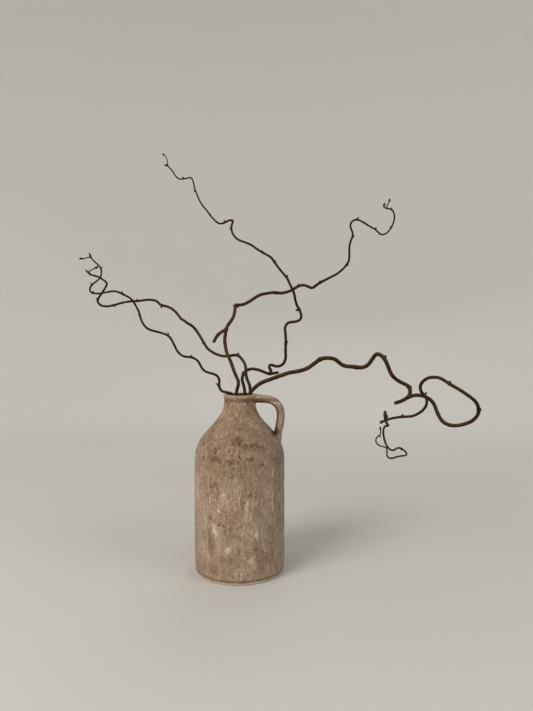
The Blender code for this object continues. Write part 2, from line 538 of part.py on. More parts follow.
def main():
    clear_scene()
    collection = new_collection("hazel_branches_in_jug")
    guides = new_collection("guides")
    add_jug(collection, guides)
    for name, routes, colour in BRANCHES:
        add_branch(name, routes, colour, collection)
    for layer in bpy.context.view_layer.layer_collection.children:
        layer.exclude = layer.name == guides.name


main()
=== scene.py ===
"""The looks of dried contorted hazel branches in a rough clay jug.

Wood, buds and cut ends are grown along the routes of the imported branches, and the jug is turned on the packed
jug's profile, apart from the millimetre or so that is named below, so every piece lies where its node lies.
"""

import math

import bmesh
import bpy
import numpy as np
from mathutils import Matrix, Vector


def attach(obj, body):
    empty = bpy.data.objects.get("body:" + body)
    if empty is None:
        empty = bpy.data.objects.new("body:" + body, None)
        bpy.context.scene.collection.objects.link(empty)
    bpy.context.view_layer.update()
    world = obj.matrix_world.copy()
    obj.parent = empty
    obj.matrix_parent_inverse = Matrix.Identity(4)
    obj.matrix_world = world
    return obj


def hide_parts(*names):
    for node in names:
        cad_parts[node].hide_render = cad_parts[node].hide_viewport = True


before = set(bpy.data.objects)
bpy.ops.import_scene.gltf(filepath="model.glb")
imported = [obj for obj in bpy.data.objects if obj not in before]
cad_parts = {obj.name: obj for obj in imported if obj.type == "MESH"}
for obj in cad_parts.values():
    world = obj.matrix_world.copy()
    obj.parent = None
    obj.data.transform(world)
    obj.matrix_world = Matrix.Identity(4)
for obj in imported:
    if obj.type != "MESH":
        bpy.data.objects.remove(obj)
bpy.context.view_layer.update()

MM = 0.001

# The eye that the routes and the picture are seen from, in mm, and the picture's lens.
EYE = (47.6, -945.0, 378.0)
PICTURE_HEIGHT = 711
FOCAL_PIXELS = 530.0
SENSOR = 36.0

# The jug, in mm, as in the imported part, but for the foot of its neck, 0.6 mm slimmer, and the upper corner
# of its handle, up to 1.5 mm fuller.
JUG_HEIGHT = 310.0
BODY_RADIUS = 79.7
NECK_RADIUS = 28.8
NECK_BORE = 22.5
WALL = 6.0
FLOOR = 8.0
SHOULDER = [
    (28.2, 289), (30.4, 280.5), (36, 270), (44.4, 260), (53.4, 250), (63, 240),
    (70.2, 230), (75, 220), (78.2, 209), (79.4, 198),
]
FOOT = [(79.7, 34), (79.3, 20), (78.5, 10), (77.7, 4.8), (76.8, 2.2), (75.6, 0.6), (74, 0)]
HANDLE_ROUTE = [
    (24.5, 302.3), (35, 301.4), (43, 300.8), (51, 299.9), (58.7, 297.8), (65.5, 293.3), (70.2, 286.8),
    (72.6, 279), (73.3, 271.5), (72.6, 263), (71.2, 254.5), (69.6, 247), (68, 240.5), (67.3, 234),
    (67.2, 227), (65.4, 219),
]
HANDLE_THICK = 14.0
HANDLE_WIDTH = 20.0

# How finely the jug is made: steps round it, the spacing of its rows outside, at the foot and inside, and
# the radius of the disc that closes each end of its section, in mm.
JUG_STEPS = 300
JUG_ROW = 1.7
JUG_ROW_FOOT = 1.0
JUG_ROW_INSIDE = 7.0
HUB_RADIUS = 4.0

# Wood: how finely it is made, and over what lengths its winding sets in, in mm. Below HIDDEN_UP the stems
# stand inside the jug. A second, quicker wave makes the winding uneven: its share of the first's reach, and
# its turns for one of the first. A spur as thick as KNOB_THICK is a knob: shares of its length, and its
# widths there.
WOOD_ROW = 1.0
WOOD_ROW_HIDDEN = 8.0
HIDDEN_UP = 294.0
WOOD_SIDES = 22
CURL_STARTS = 70.0
CURL_FULL = 150.0
CURL_SECOND_REACH = 0.4
CURL_SECOND_TURNS = 1.7
KNOB_THICK = 3.2
KNOB_SHARES = np.array([0.0, 0.3, 0.55, 0.8, 0.94, 1.0])
KNOB_WIDTHS = np.array([0.86, 0.88, 1.0, 0.94, 0.66, 0.3])

# A strand that ends thicker than END_BUD_TIP was cut off; any other ends in a bud, which is thickest at one
# of its last END_BUD_POINTS points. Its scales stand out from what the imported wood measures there. Nodes
# swell where a bud sits, roots flare. All in mm.
END_BUD_TIP = 1.2
END_BUD_POINTS = 4
BUD_SCALES_STAND_OUT = 1.15
NODE_REACH = 6.0
NODE_SWELLING = 0.16
NODE_LENGTH = 3.0
ROOT_FLARE = 0.45
ROOT_FLARE_LENGTH = 3.0

# A bud, 1 long and 1 wide: height and radius of its outline, on a small cushion. Its core is a little
# slimmer. Its scales climb round it, each turned on from the last as leaves are.
BUD_OUTLINE = [
    (0.0, 0.32), (0.05, 0.39), (0.16, 0.47), (0.36, 0.5), (0.57, 0.47), (0.75, 0.38), (0.89, 0.25),
    (0.96, 0.14), (1.0, 0.03),
]
BUD_SIDES = 14
CORE_SHARE = 0.94
BUD_SCALES = 8
SCALE_TURN = math.radians(137.5)
SCALE_LOWEST = -0.06
SCALE_CLIMB = 0.62
SCALE_LENGTH = 0.44
SCALE_HALF_WIDTH = 1.25
SCALE_GRID = 9

# A cut face: its share of the strand's width, how finely it is made, and, in mm, how far it stands proud of
# the strand's end, how far it domes, how rough it is, and how far its rim sinks into the wood.
CUT_FACE_SHARE = 0.97
CUT_RINGS = 8
CUT_SIDES = 28
CUT_PROUD = 0.12
CUT_PITH_PROUD = 0.1
CUT_DOME = 0.1
CUT_ROUGH = 0.03
CUT_RIM_SINKS = 0.15

# What the wood tree takes, lengths in mm unless its name says otherwise.
WOOD_SIZES = {
    "Sides": WOOD_SIDES, "Seed": 1, "Start": 0.0, "Twist": 0.03,
    "Wrinkle width": 1.0, "Wrinkle length": 13.0, "Wrinkle depth": 0.11,
    "Lump length": 9.0, "Lump share": 0.22, "Crease pitch": 1.7, "Crease depth": 0.13,
    "Lenticel gap": 1.9 * MM, "Lenticels to 1 m2": 45000.0,
}

# Bark sinks in a groove where its streaked noise is within GROOVE_HALF of the middle, and rises by RIDGE_RISE
# of a groove's depth elsewhere. It creases inside bends, from the first curvature to the second, in 1/mm, and
# the streaks make the creases waver. The largest lenticel's sides are in mm, across the wood, along it and
# outwards; the smallest's are a share of them.
GROOVE_HALF = 0.16
RIDGE_RISE = 0.35
CREASE_BENDS = (0.03, 0.16)
CREASE_WAVER = 1.4
LENTICEL_SHAPE = (1.0, 0.62, 0.34)
LENTICEL_SMALLEST = 0.45

# How far apart in the bark's noises two branches lie for each step of their seeds, in mm.
BARK_APART = 40.0

# What the clay tree takes, in mm.
CLAY_SIZES = {
    "Dent width": 45.0, "Dent depth": 0.6, "Skin width": 5.0, "Skin depth": 0.26,
    "Ring height": 6.0, "Ring depth": 0.35, "Pit depth": 0.55,
}
RING_SKEW = 0.03

# Pits lie at the middles of cells, PIT_CELLS of them to a mm, and a noise with PIT_FRAYS waves to a mm frays
# them by PIT_FRAYED of a cell. PIT_EDGE is where a pit is deepest and where it ends. The share of cells with
# a pit rises over the first two heights of PIT_BAND from rare to likely, and falls over the last two.
PIT_CELLS = 0.13
PIT_FRAYS = 0.4
PIT_FRAYED = 0.7
PIT_EDGE = (-0.22, -0.03)
PIT_BAND = (185.0, 200.0, 212.0, 236.0)
PIT_LIKELY = 0.45
PIT_RARE = 0.03

# The lip rolls out a little and sinks towards the front; the neck's lines under it, and a groove
# scratched round the foot, are radius and height. All in mm.
LIP_ROLL = 0.5
LIP_SINKS = 2.3
LIP_SINKS_FROM = 288.0
NECK_LINES = [
    (28.6, 304), (28.1, 302.6), (27.7, 301), (27.5, 299.4), (27.6, 297.6), (27.9, 295.8), (28, 293.6),
]
FOOT_GROOVE = [(77.9, 6.2), (77.3, 5.5), (77.6, 4.8)]

# The handle's making, in mm: an oval squarer than an ellipse, thicker and wider by these shares at its top
# and its foot, where it was pressed on. The seam round each end is softened over some rings of points. The
# crevice over its foot is darkened with painted shade and some dirt. Points within HANDLE_NEAR of its sides
# from its middle line are its own.
HANDLE_SIDES = 44
HANDLE_SQUARE = 0.86
HANDLE_ROOT = 6.0
HANDLE_FLARE_LENGTH = 9.0
HANDLE_THICKER = (0.06, 0.05)
HANDLE_WIDER = (0.16, 0.22)
HANDLE_NEAR = 0.6
SEAM_RINGS = 3
SEAM_ROUNDS = 12
CREVICE = (63.0, 244.0)
CREVICE_REACH = 9.0

# Marks on the clay: degrees round the jug from its front towards the handle, height, half width and half
# height in mm, and strength. SLIP is whitish, SOOT is brown. A noise eats into their edges, as MARKS_RAGGED
# says. Streaks and scratches sway by up to STREAK_SWAY mm.
MARKS_RAGGED = 4.0
STREAK_SWAY = 16.0
SLIP = [
    (-28, 86, 9, 14, 1.0), (-23, 126, 6, 12, 0.8), (-44, 97, 6, 16, 0.8), (24, 83, 6, 9, 0.9),
    (16, 40, 8, 8, 1.0), (-13, 62, 7, 9, 0.8), (11, 129, 4, 17, 0.8), (46, 178, 4, 12, 0.9),
    (46, 135, 4, 22, 0.8), (-18, 153, 4, 9, 0.7), (-62, 160, 8, 30, 0.8), (-55, 55, 8, 20, 0.7),
    (2, 20, 16, 5, 0.7), (34, 60, 5, 12, 0.7), (-25, 216, 3, 8, 0.6), (6, 214, 6, 3, 0.6),
    (75, 70, 9, 16, 0.8), (92, 150, 5, 26, 0.8), (118, 95, 8, 14, 0.9), (140, 40, 12, 8, 0.8),
    (152, 160, 5, 22, 0.8), (176, 105, 9, 16, 0.9), (200, 55, 8, 10, 0.8), (221, 135, 6, 20, 0.8),
    (240, 80, 9, 12, 0.9), (262, 170, 5, 24, 0.8), (-85, 110, 6, 18, 0.8), (-95, 40, 10, 9, 0.8),
    (90, 293, 20, 5, 0.8), (88, 262, 20, 8, 0.7),
]
SOOT = [
    (0, 237, 13, 8, 1.0), (33, 223, 13, 7, 1.0), (15, 228, 18, 4, 0.9), (-30, 206, 14, 6, 1.0),
    (-9, 204, 9, 5, 0.9), (14, 208, 15, 4, 0.9), (-26, 224, 9, 7, 0.8), (-12, 181, 12, 5, 0.6),
    (22, 170, 16, 8, 0.5), (12, 148, 14, 7, 0.5), (38, 40, 14, 18, 0.5), (60, 110, 16, 30, 0.5),
    (-6, 270, 8, 12, 0.6), (30, 282, 8, 8, 0.6), (-50, 248, 10, 8, 0.5), (60, 212, 14, 6, 0.8),
    (82, 206, 18, 5, 0.8), (112, 204, 26, 6, 0.9), (150, 238, 16, 9, 0.8), (168, 209, 30, 5, 1.0),
    (205, 186, 24, 8, 0.7), (225, 214, 26, 5, 0.9), (262, 207, 24, 5, 0.9), (-72, 212, 22, 5, 0.8),
    (180, 140, 18, 10, 0.5), (130, 60, 16, 20, 0.4), (235, 30, 22, 10, 0.5), (70, 300, 12, 5, 0.8),
    (90, 279, 16, 4, 0.7), (95, 247, 16, 5, 0.7),
]

# The studio, in metres. The wall glows by WALL_GLOW, and the lamps shine on LIT_MIDDLE.
FLOOR_RADIUS = 1.6
BEND_RADIUS = 1.2
WALL_HEIGHT = 3.2
WALL_GLOW = 0.13
BACKDROP_STEPS = 96
LIT_MIDDLE = (0.03, 0.0, 0.32)

# Routes. A point is (across, up) or (across, up, behind, thick): where the last two are given, the wood
# lies that far behind the jug's axis and is that thick; between such points both change evenly along the
# wood. In a shoot, behind counts from the wood that it grows from. A stem's points are real ones:
# (x, y, z, thick). A bud is (foot across, foot up, tip across, tip up, thick). Curl is (reach, pitch,
# start): how far the wood winds to and fro in depth, the length of one turn, and where in it it starts.
# A few of the thinnest ends are up to 0.9 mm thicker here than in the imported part.

LOW_LEFT = {
    "stem": [
        (-50, -12, 8.9, 4.9), (-35, -11, 110, 4.9), (-17, -9.5, 220, 4.8), (-9, -9, 280, 4.8),
        (-9.5, -8.5, 303, 4.7),
    ],
    "curl": (6, 84, 0.2),
    "leader": [
        (-14, 309.8, -6, 4.7), (-20.8, 312), (-25.6, 312.9, 0, 4.7), (-29.5, 313.6), (-33, 315.5),
        (-35.6, 319.5), (-37, 325), (-36.5, 331), (-37.5, 337), (-41, 342), (-47, 345), (-55, 347.3),
        (-62, 350), (-67, 355), (-71, 362), (-75, 368.5), (-81, 372.7), (-87, 375), (-94, 375.6),
        (-101, 377, -20, 4.2), (-107, 381), (-112, 387), (-116, 395), (-120, 403), (-124.5, 410),
        (-129, 414), (-136, 417), (-144, 419.5), (-152, 421.5), (-160, 424), (-167, 428),
        (-172, 434, -36, 4), (-175.5, 441), (-178, 449), (-180, 456), (-184, 464), (-188, 471),
        (-192, 477), (-198, 482), (-205, 485.5), (-212, 489), (-219, 491.8), (-226, 492.5), (-234, 491.5),
        (-241, 490), (-248, 488.8), (-256, 488.5, -44, 3.4), (-262, 489.4), (-266, 491.6), (-267.2, 497),
        (-264, 503.5), (-258, 508.5), (-252, 513.5), (-248.2, 518), (-247, 524), (-247, 530),
        (-248.5, 535), (-253, 539.8), (-259, 545.5), (-264, 551, -42, 2.7), (-267, 555.5, -41, 3),
        (-268.3, 559, -41, 2.3), (-268.7, 561.5, -41, 0.7),
    ],
    "shoots": [
        [
            (-264.5, 551.6, 0, 2), (-270, 553.2, 1, 2), (-275, 551.4), (-279, 550.6, 2, 2.2),
            (-281.5, 550.4, 2, 3.2), (-284.5, 550.6, 2, 2.5), (-286.8, 551, 2, 0.8),
        ],
    ],
    "buds": [
        (-37, 323, -43, 329.2, 2.7), (-86, 374.5, -87.4, 379, 3.4), (-126, 411, -128.6, 421, 2.2),
        (-178, 449, -182.4, 451.4, 2.2), (-208, 487, -211, 493.6, 2.5), (-262, 489.5, -260.6, 493.6, 2.5),
        (-264, 504, -267, 508.5, 2.2), (-248, 532, -244.6, 536.5, 2.2),
    ],
}

LEFT = {
    "stem": [
        (0, -50, 9.1, 6.2), (7, -24, 130, 6), (14.5, -3, 260, 5.8), (17, 2.6, 296, 5.7),
    ],
    "curl": (7, 96, 0.6),
    "leader": [
        (18, 306, 4, 5.6), (18.3, 314), (18, 322), (15.7, 329.5), (12.6, 337), (11.2, 343.5),
        (10.7, 350.5, 10, 5.5), (10.2, 358), (8.4, 364), (4.8, 369.8), (0.6, 375), (-3.5, 378.2),
        (-8.5, 378.8), (-15, 378), (-22, 377, 45, 5.2), (-29.6, 377), (-36, 378.4), (-42.4, 380.7),
        (-48, 383.5), (-52.5, 386.4), (-57, 390), (-60.7, 395, 62, 5), (-64.4, 401), (-68, 407.4),
        (-71.7, 413.8), (-75.3, 419.3), (-79, 424.3), (-83.5, 429.4), (-88, 432.8), (-93.6, 435.8),
        (-98.9, 440), (-104.4, 443.5), (-109, 449, 78, 4.8), (-113.5, 455), (-118, 459), (-123.6, 462.8),
        (-130, 465.5), (-136.4, 467), (-141, 468.3), (-144.8, 472), (-149.2, 475.2), (-154.7, 476.7),
        (-161, 477.4, 88, 4.3), (-167.5, 477), (-174.8, 476), (-182, 475.3), (-190, 474.7), (-198.8, 474),
        (-206, 472.8), (-215.3, 470.5), (-224.4, 467.8), (-231.7, 466.2), (-237.2, 465.7, 86, 4),
        (-243.6, 466.2), (-249.1, 468.5), (-252.7, 472.8), (-253.4, 477.2), (-251.9, 480.8),
        (-249.2, 484.8), (-246, 489.5), (-242.8, 494), (-239.6, 499.1), (-237.6, 503.7), (-237.5, 507.2),
        (-239.8, 510.2), (-243.7, 513), (-248.3, 516.2), (-252.8, 518.5), (-258.3, 520.1),
        (-263.8, 521.5, 74, 3.6), (-268.4, 523), (-271.6, 525.6, 70, 2.8), (-273.8, 528.6, 70, 3),
        (-276, 531.5, 70, 0.7),
    ],
    "shoots": [
        [
            (-270.6, 524.6, 0, 2.1), (-268.8, 527.6, -1, 2.1), (-263.8, 530.8), (-259.4, 533.2, -3, 2.2),
            (-257, 534.4, -3, 3.5), (-254, 535.8, -3, 2.8), (-251.8, 536.8, -3, 0.8),
        ],
    ],
    "buds": [
        (-4, 377, -2.6, 383, 4), (-138, 467.5, -140.8, 462.6, 3.4), (-252.8, 477.5, -257.2, 480.4, 2.7),
        (-63, 399, -68.5, 400.5, 2.7), (-182, 475.5, -184, 479.5, 2.5), (-224, 468, -222.6, 463.8, 2.2),
    ],
}

UPPER_RIGHT = {
    "stem": [
        (6, 50, 8.9, 6.8), (4, 36, 110, 6.6), (-3, 20.5, 225, 6.5), (-6.5, 9.2, 288, 6.4),
    ],
    "curl": (8, 104, 0.45),
    "leader": [
        (-6.8, 303.5, 7, 6.3), (-6.2, 310.5), (-5.3, 316), (-3.9, 321.3), (-2.6, 326.8), (-2.6, 331.5),
        (-4.8, 337.2), (-7.6, 343.2), (-10.3, 350.5), (-13, 357.8), (-15.8, 366), (-19, 373.4, 20, 6.2),
        (-22.2, 380.7), (-24.5, 388), (-26, 396.2), (-26.8, 403.6), (-26.4, 411), (-25.5, 418.3),
        (-24.3, 424.5, 58, 6.2), (-22.6, 429.3), (-20, 433.8), (-16.4, 438.8), (-13.2, 443.4),
        (-10.9, 448.4), (-9.5, 453.9), (-8.6, 459.4), (-7.8, 464.4), (-6, 467.6, 96, 5.8), (-2.2, 468),
        (3, 468.4), (9.2, 470.2), (15.6, 473.5), (22, 477.5), (27.5, 481.3), (33, 484.5), (39.4, 487),
        (45.8, 488.2), (52.2, 489.3), (57.7, 490.2, 126, 5.6), (64, 490), (70.5, 489.4), (77, 489.6),
        (82, 490.6), (87.4, 492.4), (93.4, 495), (98.9, 498.5), (105, 502), (111, 503.4), (117.4, 502.8),
        (122.8, 500.5), (127.4, 498.9, 138, 5.2), (131.4, 499.7), (135.6, 502.6), (140.2, 506),
        (144.6, 509), (149.6, 511.4), (155.7, 514.4), (163, 518.4), (170.4, 522), (176.8, 526.3),
        (182.3, 530.7), (187.2, 536, 112, 3.9), (191.4, 541.2), (194.1, 546.7), (195.2, 552.6),
        (195.3, 560), (195.3, 567.3), (195.6, 572.7), (196.6, 578.2), (198.6, 583.7), (200.5, 588.8),
        (201.4, 593.5, 90, 3.6), (200.8, 598), (199, 602.6), (197.3, 607.2), (197.4, 611.8),
        (199.7, 616.3), (203.8, 619.3), (209, 620.2), (215.4, 618), (221.8, 614.5, 72, 3.4),
        (228.2, 610.4), (234.6, 606.7), (241.4, 602.9), (246.3, 598.2), (250.2, 595), (254.3, 593.6),
        (258.4, 594.4), (263, 597.6, 60, 2.9), (267.5, 602.4), (270.7, 607.2), (273, 612.7),
        (274.9, 618.2), (275.8, 623.7), (275.5, 629.1, 50, 3), (274, 633.9), (271, 637.8),
        (266.7, 639.5, 46, 2.8), (262.6, 640.2), (259.2, 641.2), (257, 643, 44, 2.6),
        (256.9, 645.4, 44, 3.3), (257.6, 648, 44, 2.8), (258.4, 650.4, 44, 0.7),
    ],
    "shoots": [
        [
            (-23.8, 424.4, 0, 5.8), (-30, 421.6, 3, 5.8), (-34.8, 418.3), (-39.2, 414.4, 4, 5.8),
            (-42.9, 409.1), (-45.8, 403.6, 2, 5.7), (-47, 401.2, 2, 5.7),
        ],
        [
            (262.4, 640.2, 0, 2), (262.2, 643.6, 1, 2.1), (264.2, 648), (265.6, 651, 2, 2.1),
            (266.4, 653.2, 2, 3.2), (267.4, 655.8, 2, 2.6), (268.1, 657.8, 2, 0.7),
        ],
    ],
    "buds": [
        (-24, 425.5, -20.2, 425.2, 4.9), (-37.5, 415.5, -40.4, 417.6, 3.6), (-7.2, 466.5, -12.2, 467, 4),
        (-6.4, 466.5, -2.4, 463.6, 3.8), (143, 508, 142.4, 511.6, 3.6), (189.5, 539.5, 194.6, 538.6, 2.7),
        (200.2, 589.5, 205.6, 591.2, 2.5), (208, 620, 212.6, 625.4, 2.5), (241, 603, 243.6, 606.2, 3.1),
        (270.3, 606.5, 267.4, 608.6, 2.7), (270.6, 638, 271.4, 643.2, 2.2), (105, 502, 103.4, 506.4, 2.5),
        (64, 490, 66, 486, 2.5),
    ],
}

TALL = {
    "stem": [
        (-45, 10, 8.9, 6.4), (-28, 10, 110, 6.3), (-4, 10.5, 220, 6.1), (8.2, 11, 286, 6),
    ],
    "curl": (8, 110, 0.1),
    "leader": [
        (9.2, 304, 12, 5.9), (8.9, 311), (8.4, 317.6), (7, 324), (5.2, 330.4), (4.4, 336), (5.2, 341.4),
        (7.5, 346.3), (10.9, 350.2, 20, 5.7), (15.3, 352.8), (20.8, 354), (27.2, 353.7), (33.6, 352.3),
        (40, 350), (45.5, 347.8), (51, 346), (55, 347.4, 15, 5.3), (55.4, 351.6), (52.9, 356), (53, 360),
        (56.4, 361.2, 12, 5.2), (61, 359.8), (66, 358.8), (71.2, 359.4), (76, 362), (79.4, 366.4),
        (81.4, 371.9), (81.8, 378, 8, 5.2), (81.6, 384.6), (81.7, 392.3), (82, 400), (82, 407.6),
        (81.5, 415.4), (80.7, 422), (80.8, 428), (82.8, 432.8), (86, 435.9), (90.2, 437.4),
        (95.3, 438, -10, 5), (100.7, 438.8), (105.2, 440.6), (108.4, 443.4), (109.6, 447.8), (108.8, 453),
        (106.7, 458.4), (103.9, 463.9), (101.2, 469.4), (99.3, 475.8), (98, 482.2, -8, 4.7), (96.6, 489),
        (94.3, 495), (91.6, 500.5), (88.9, 506), (86.6, 511.4), (83.8, 516.6), (80.6, 520.6), (77, 524.7),
        (73.3, 529.3, -2, 4.4), (69.2, 534.3), (65.1, 539.8), (61, 545.7), (57.6, 550.7), (54, 554),
        (50, 556.6), (45.3, 559), (39.9, 562.2, 4, 4.2), (34.4, 565.4), (28.9, 569), (23.4, 573.1),
        (17.9, 576.3), (11.5, 579), (5.3, 581.2, 14, 4), (-0.4, 583.4), (-4.9, 586), (-8.7, 589.8),
        (-11.8, 594.2), (-14, 598.9, 24, 3.8), (-15, 603.8), (-14.8, 608.8), (-13.4, 613.6), (-13, 617.2),
        (-15.2, 619.4), (-18.8, 618.8), (-23.2, 617), (-27.8, 614.7), (-32.3, 613.2),
        (-36.9, 613.5, 34, 3.4), (-41.5, 616.1), (-46, 620.4), (-50.4, 625.2), (-54, 630), (-57.6, 634.9),
        (-61.6, 639.6), (-65.2, 643.8), (-68.4, 648.3), (-71.2, 653.2, 44, 2.9), (-73.6, 658.4),
        (-76, 664.4), (-78.8, 671), (-81, 678.3), (-82.6, 685.4), (-84.4, 691.4), (-87, 694.8),
        (-91, 694.8), (-95.6, 693.8, 56, 2.6), (-100.6, 693.2), (-105.4, 692.4), (-109.6, 693.6),
        (-113.3, 696.6), (-116.4, 700.9), (-119.2, 705.4), (-122.2, 709.6), (-125.6, 713.2, 66, 2.4),
        (-128.4, 715.6, 67, 2.2), (-130.6, 716.9, 67, 3.1), (-132.8, 717.8, 67, 2.3),
        (-134.6, 718.4, 67, 0.7),
    ],
    "shoots": [
        [
            (51, 346, 0, 5.3), (55.2, 345.6, 0, 5.4), (60.1, 346.3), (66, 347.2, -1, 5.3),
            (69.3, 347.8, -1, 5.3),
        ],
        [
            (-127.4, 714.8, 0, 1.8), (-128.9, 719.4, 1, 1.8), (-129.4, 725.4), (-130.7, 730.2, 3, 1.7),
            (-133, 734, 4, 1.8), (-135.4, 736.2, 4, 2.5), (-137.6, 737.4, 4, 1.8), (-139, 738, 4, 0.6),
        ],
    ],
    "buds": [
        (105.6, 460, 99.6, 458.4, 4.5), (83, 517.5, 85.8, 521.4, 3.6), (39.6, 561.5, 38, 566, 4),
        (-14.8, 604, -19, 604.4, 2.9), (-26, 615.6, -28.6, 620, 2.7), (-53, 629, -56.2, 632.4, 3.4),
        (-78.6, 670.5, -81.8, 672.6, 3.6), (-101, 693.2, -101.6, 697.2, 2.9),
        (-14, 617.6, -10.6, 620.4, 2.9), (82, 400, 86, 403.2, 3.4), (61.5, 545, 65.6, 547.2, 2.7),
        (7.5, 346.3, 3.6, 348.4, 3.6),
    ],
}

LOOPED = {
    "stem": [
        (-31, -39, 9.1, 7.4), (-15, -28, 110, 7.2), (2, -15.5, 220, 7), (11.5, -7.6, 285, 6.9),
    ],
    "curl": (5, 120, 0.3),
    "leader": [
        (14.9, 302.7, -6, 6.8), (17.6, 309.9), (22.2, 316.2), (28, 321.8), (33.6, 326.3),
        (40, 330, -10, 7.2), (46.4, 332.7), (52.8, 335), (60.1, 337.7), (68.3, 340.5), (76.6, 343.4),
        (83.9, 346.1), (91, 347.9, -20, 7.4), (99.3, 349), (107.5, 350.8), (114.8, 352.8), (121.2, 355.6),
        (126.7, 359), (132.2, 363.2), (137.7, 367.5), (143.1, 371), (149.5, 373, -35, 7.4),
        (156.8, 373.6), (163.3, 373), (168.7, 371.6), (173.8, 368.4), (178.3, 364.4), (183.4, 361),
        (190.7, 358.8), (198, 358.1, -44, 7.3), (206.3, 357.3), (213.6, 356.7), (220.4, 357.2),
        (225.5, 359.2), (229.6, 362.8), (233.3, 367.4), (236.9, 372.4), (240.1, 377.1),
        (243.4, 380, -50, 7.3), (247.6, 380.2), (251.8, 378.4), (255.2, 375.6), (258.4, 371.6),
        (261.2, 366), (263.4, 360.5), (265.7, 355, -54, 7.1), (268, 349.1), (271.2, 342.9),
        (275.8, 338.1), (281.3, 334), (287.7, 330), (294.1, 327), (299.2, 324), (302.4, 320),
        (303.6, 315.5, -60, 6.9), (303.6, 311.2), (301.8, 306.8), (297.4, 302.2),
        (291.3, 298.4, -62, 6.8), (284.9, 295.7), (279.8, 294.1), (276.2, 293, -62, 6.6),
    ],
    "shoots": [
        [
            (299.6, 303.4, 0, 6.4), (304.6, 305.2, -1, 6.6), (310.4, 306.6), (317, 307.2, -4, 6.6),
            (323.4, 306.5), (330, 304.7, -6, 6.6), (336.6, 301.5), (342.5, 296.5), (346.8, 289.8),
            (350, 282.3, -18, 6.8), (352.8, 275), (356, 268), (360.4, 261.6), (366.2, 256.9),
            (373.5, 254, -40, 6.9), (381.8, 253), (390, 253.5), (398.2, 255.1), (405.6, 257.4, -56, 6.6),
            (412.8, 260.6), (419, 265.2), (423.6, 270.9), (425.9, 277.4), (425.6, 284.4, -70, 6.5),
            (423.2, 291.2), (418.8, 297.4), (412.4, 303), (405.4, 308, -74, 6.3), (398, 313), (390, 318),
            (381.8, 322.8), (374, 327.4, -66, 6.2), (367.4, 331.8), (361.2, 335.6), (354.8, 338.2),
            (347.8, 339.3), (340.6, 339, -46, 6.1), (333.8, 336.9), (328, 333.1), (323.8, 328),
            (321.8, 322.1, -26, 5.8), (322.4, 316.3), (325.2, 311), (329, 306.9, -20, 5.5), (332, 302.4),
            (333.3, 296.6, -20, 5.3), (332.6, 290.2), (329.8, 284.4), (325.2, 279.2),
            (319, 274.8, -22, 5), (312.6, 271.7), (305.8, 269.6), (298.4, 268.9, -26, 4.8),
            (290.6, 268.8), (283, 268), (275, 266.6), (266.8, 264.6, -32, 4.4), (260.6, 262.7),
            (256.4, 261.1, -34, 4), (253.8, 259.9, -34, 4.6), (250.8, 258.4, -34, 3.2),
            (249, 257.4, -34, 0.8),
        ],
        [
            (259.4, 262.2, 0, 3.6), (259, 266.2, 2, 4), (258.9, 270, 2, 5.2), (259, 274, 2, 4.8),
            (259.2, 277.8, 2, 2.8), (259.3, 280.4, 2, 0.7),
        ],
        [
            (259.8, 262.4, 0, 3.9), (261.8, 257.4, -3, 4), (264.4, 254, -5, 4),
            (263.4, 252.4, -8, 4), (260.4, 252.2, -9, 3.8), (257.8, 250.4, -10, 3.8), (256.4, 246.8),
            (255.8, 242), (256.2, 237.2), (257, 231.6, -14, 3.7), (258.4, 226), (260.4, 220.4),
            (262.9, 215.6), (266.4, 211.6), (269.8, 209.2), (273.3, 208.7, -20, 3.4), (276.7, 210.2),
            (279.6, 212.4), (283, 213.4), (286.6, 212.8), (290.4, 210.8), (294.2, 207.8), (297.2, 204.2),
            (297.6, 201.2, -27, 3.2), (294.6, 199.6), (290.6, 199.2), (286.4, 198.8), (280.8, 197.4),
            (275.2, 195.6), (270.4, 194.6), (266.2, 195.2, -31, 3), (263.2, 197.6), (262, 201.2),
            (262.4, 205.4), (262.4, 210, -26, 2.8), (261, 213.6), (257.8, 215), (254.2, 215.9),
            (250.3, 216.8), (246.6, 218.8, -20, 2.6), (243.8, 221.8), (242.5, 225.4), (242.8, 229.2),
            (244.9, 232.6, -16, 2.3), (248, 234.9), (250.4, 237, -13, 2.3), (251.1, 240.4),
            (251.1, 244.2, -12, 2.3), (250.8, 246.8, -12, 3), (250.4, 249.6, -12, 2.5),
            (250, 251.8, -12, 0.7),
        ],
    ],
    "buds": [
        (257, 374, 261.6, 377.6, 4.7), (301.5, 321, 306, 323.8, 5.2), (373.5, 327.5, 374.6, 333, 4.9),
        (425.5, 281, 431, 282.4, 4.5), (289.5, 268.5, 289.8, 273.6, 3.6), (260.5, 263, 264.4, 272.8, 3.1),
        (264, 254, 267.2, 254.4, 3.4), (287, 212, 288.2, 208, 2), (248.6, 235.4, 251.6, 231.4, 2),
        (143, 371, 139.6, 374.4, 4.3), (206, 357.4, 208, 352.8, 4), (329, 306.9, 333.6, 312.6, 3.6),
    ],
}

# Node name, its routes, and the seed of its bark.
BRANCHES = [
    ("branch_low_left", LOW_LEFT, 3),
    ("branch_left", LEFT, 11),
    ("branch_upper_right", UPPER_RIGHT, 23),
    ("branch_tall", TALL, 37),
    ("branch_looped", LOOPED, 51),
]


# Helpers

def srgb(code):
    """The linear colour of an sRGB hex code."""
    parts = [int(code[i:i + 2], 16) / 255 for i in (1, 3, 5)]
    return tuple(c / 12.92 if c <= 0.04045 else ((c + 0.055) / 1.055) ** 2.4 for c in parts) + (1.0,)


def feed(node, inputs):
    """Give a node's inputs what they take: each a value, or the socket that feeds it."""
    for key, value in inputs.items():
        if isinstance(value, bpy.types.NodeSocket):
            node.id_data.links.new(value, node.inputs[key])
        else:
            node.inputs[key].default_value = value


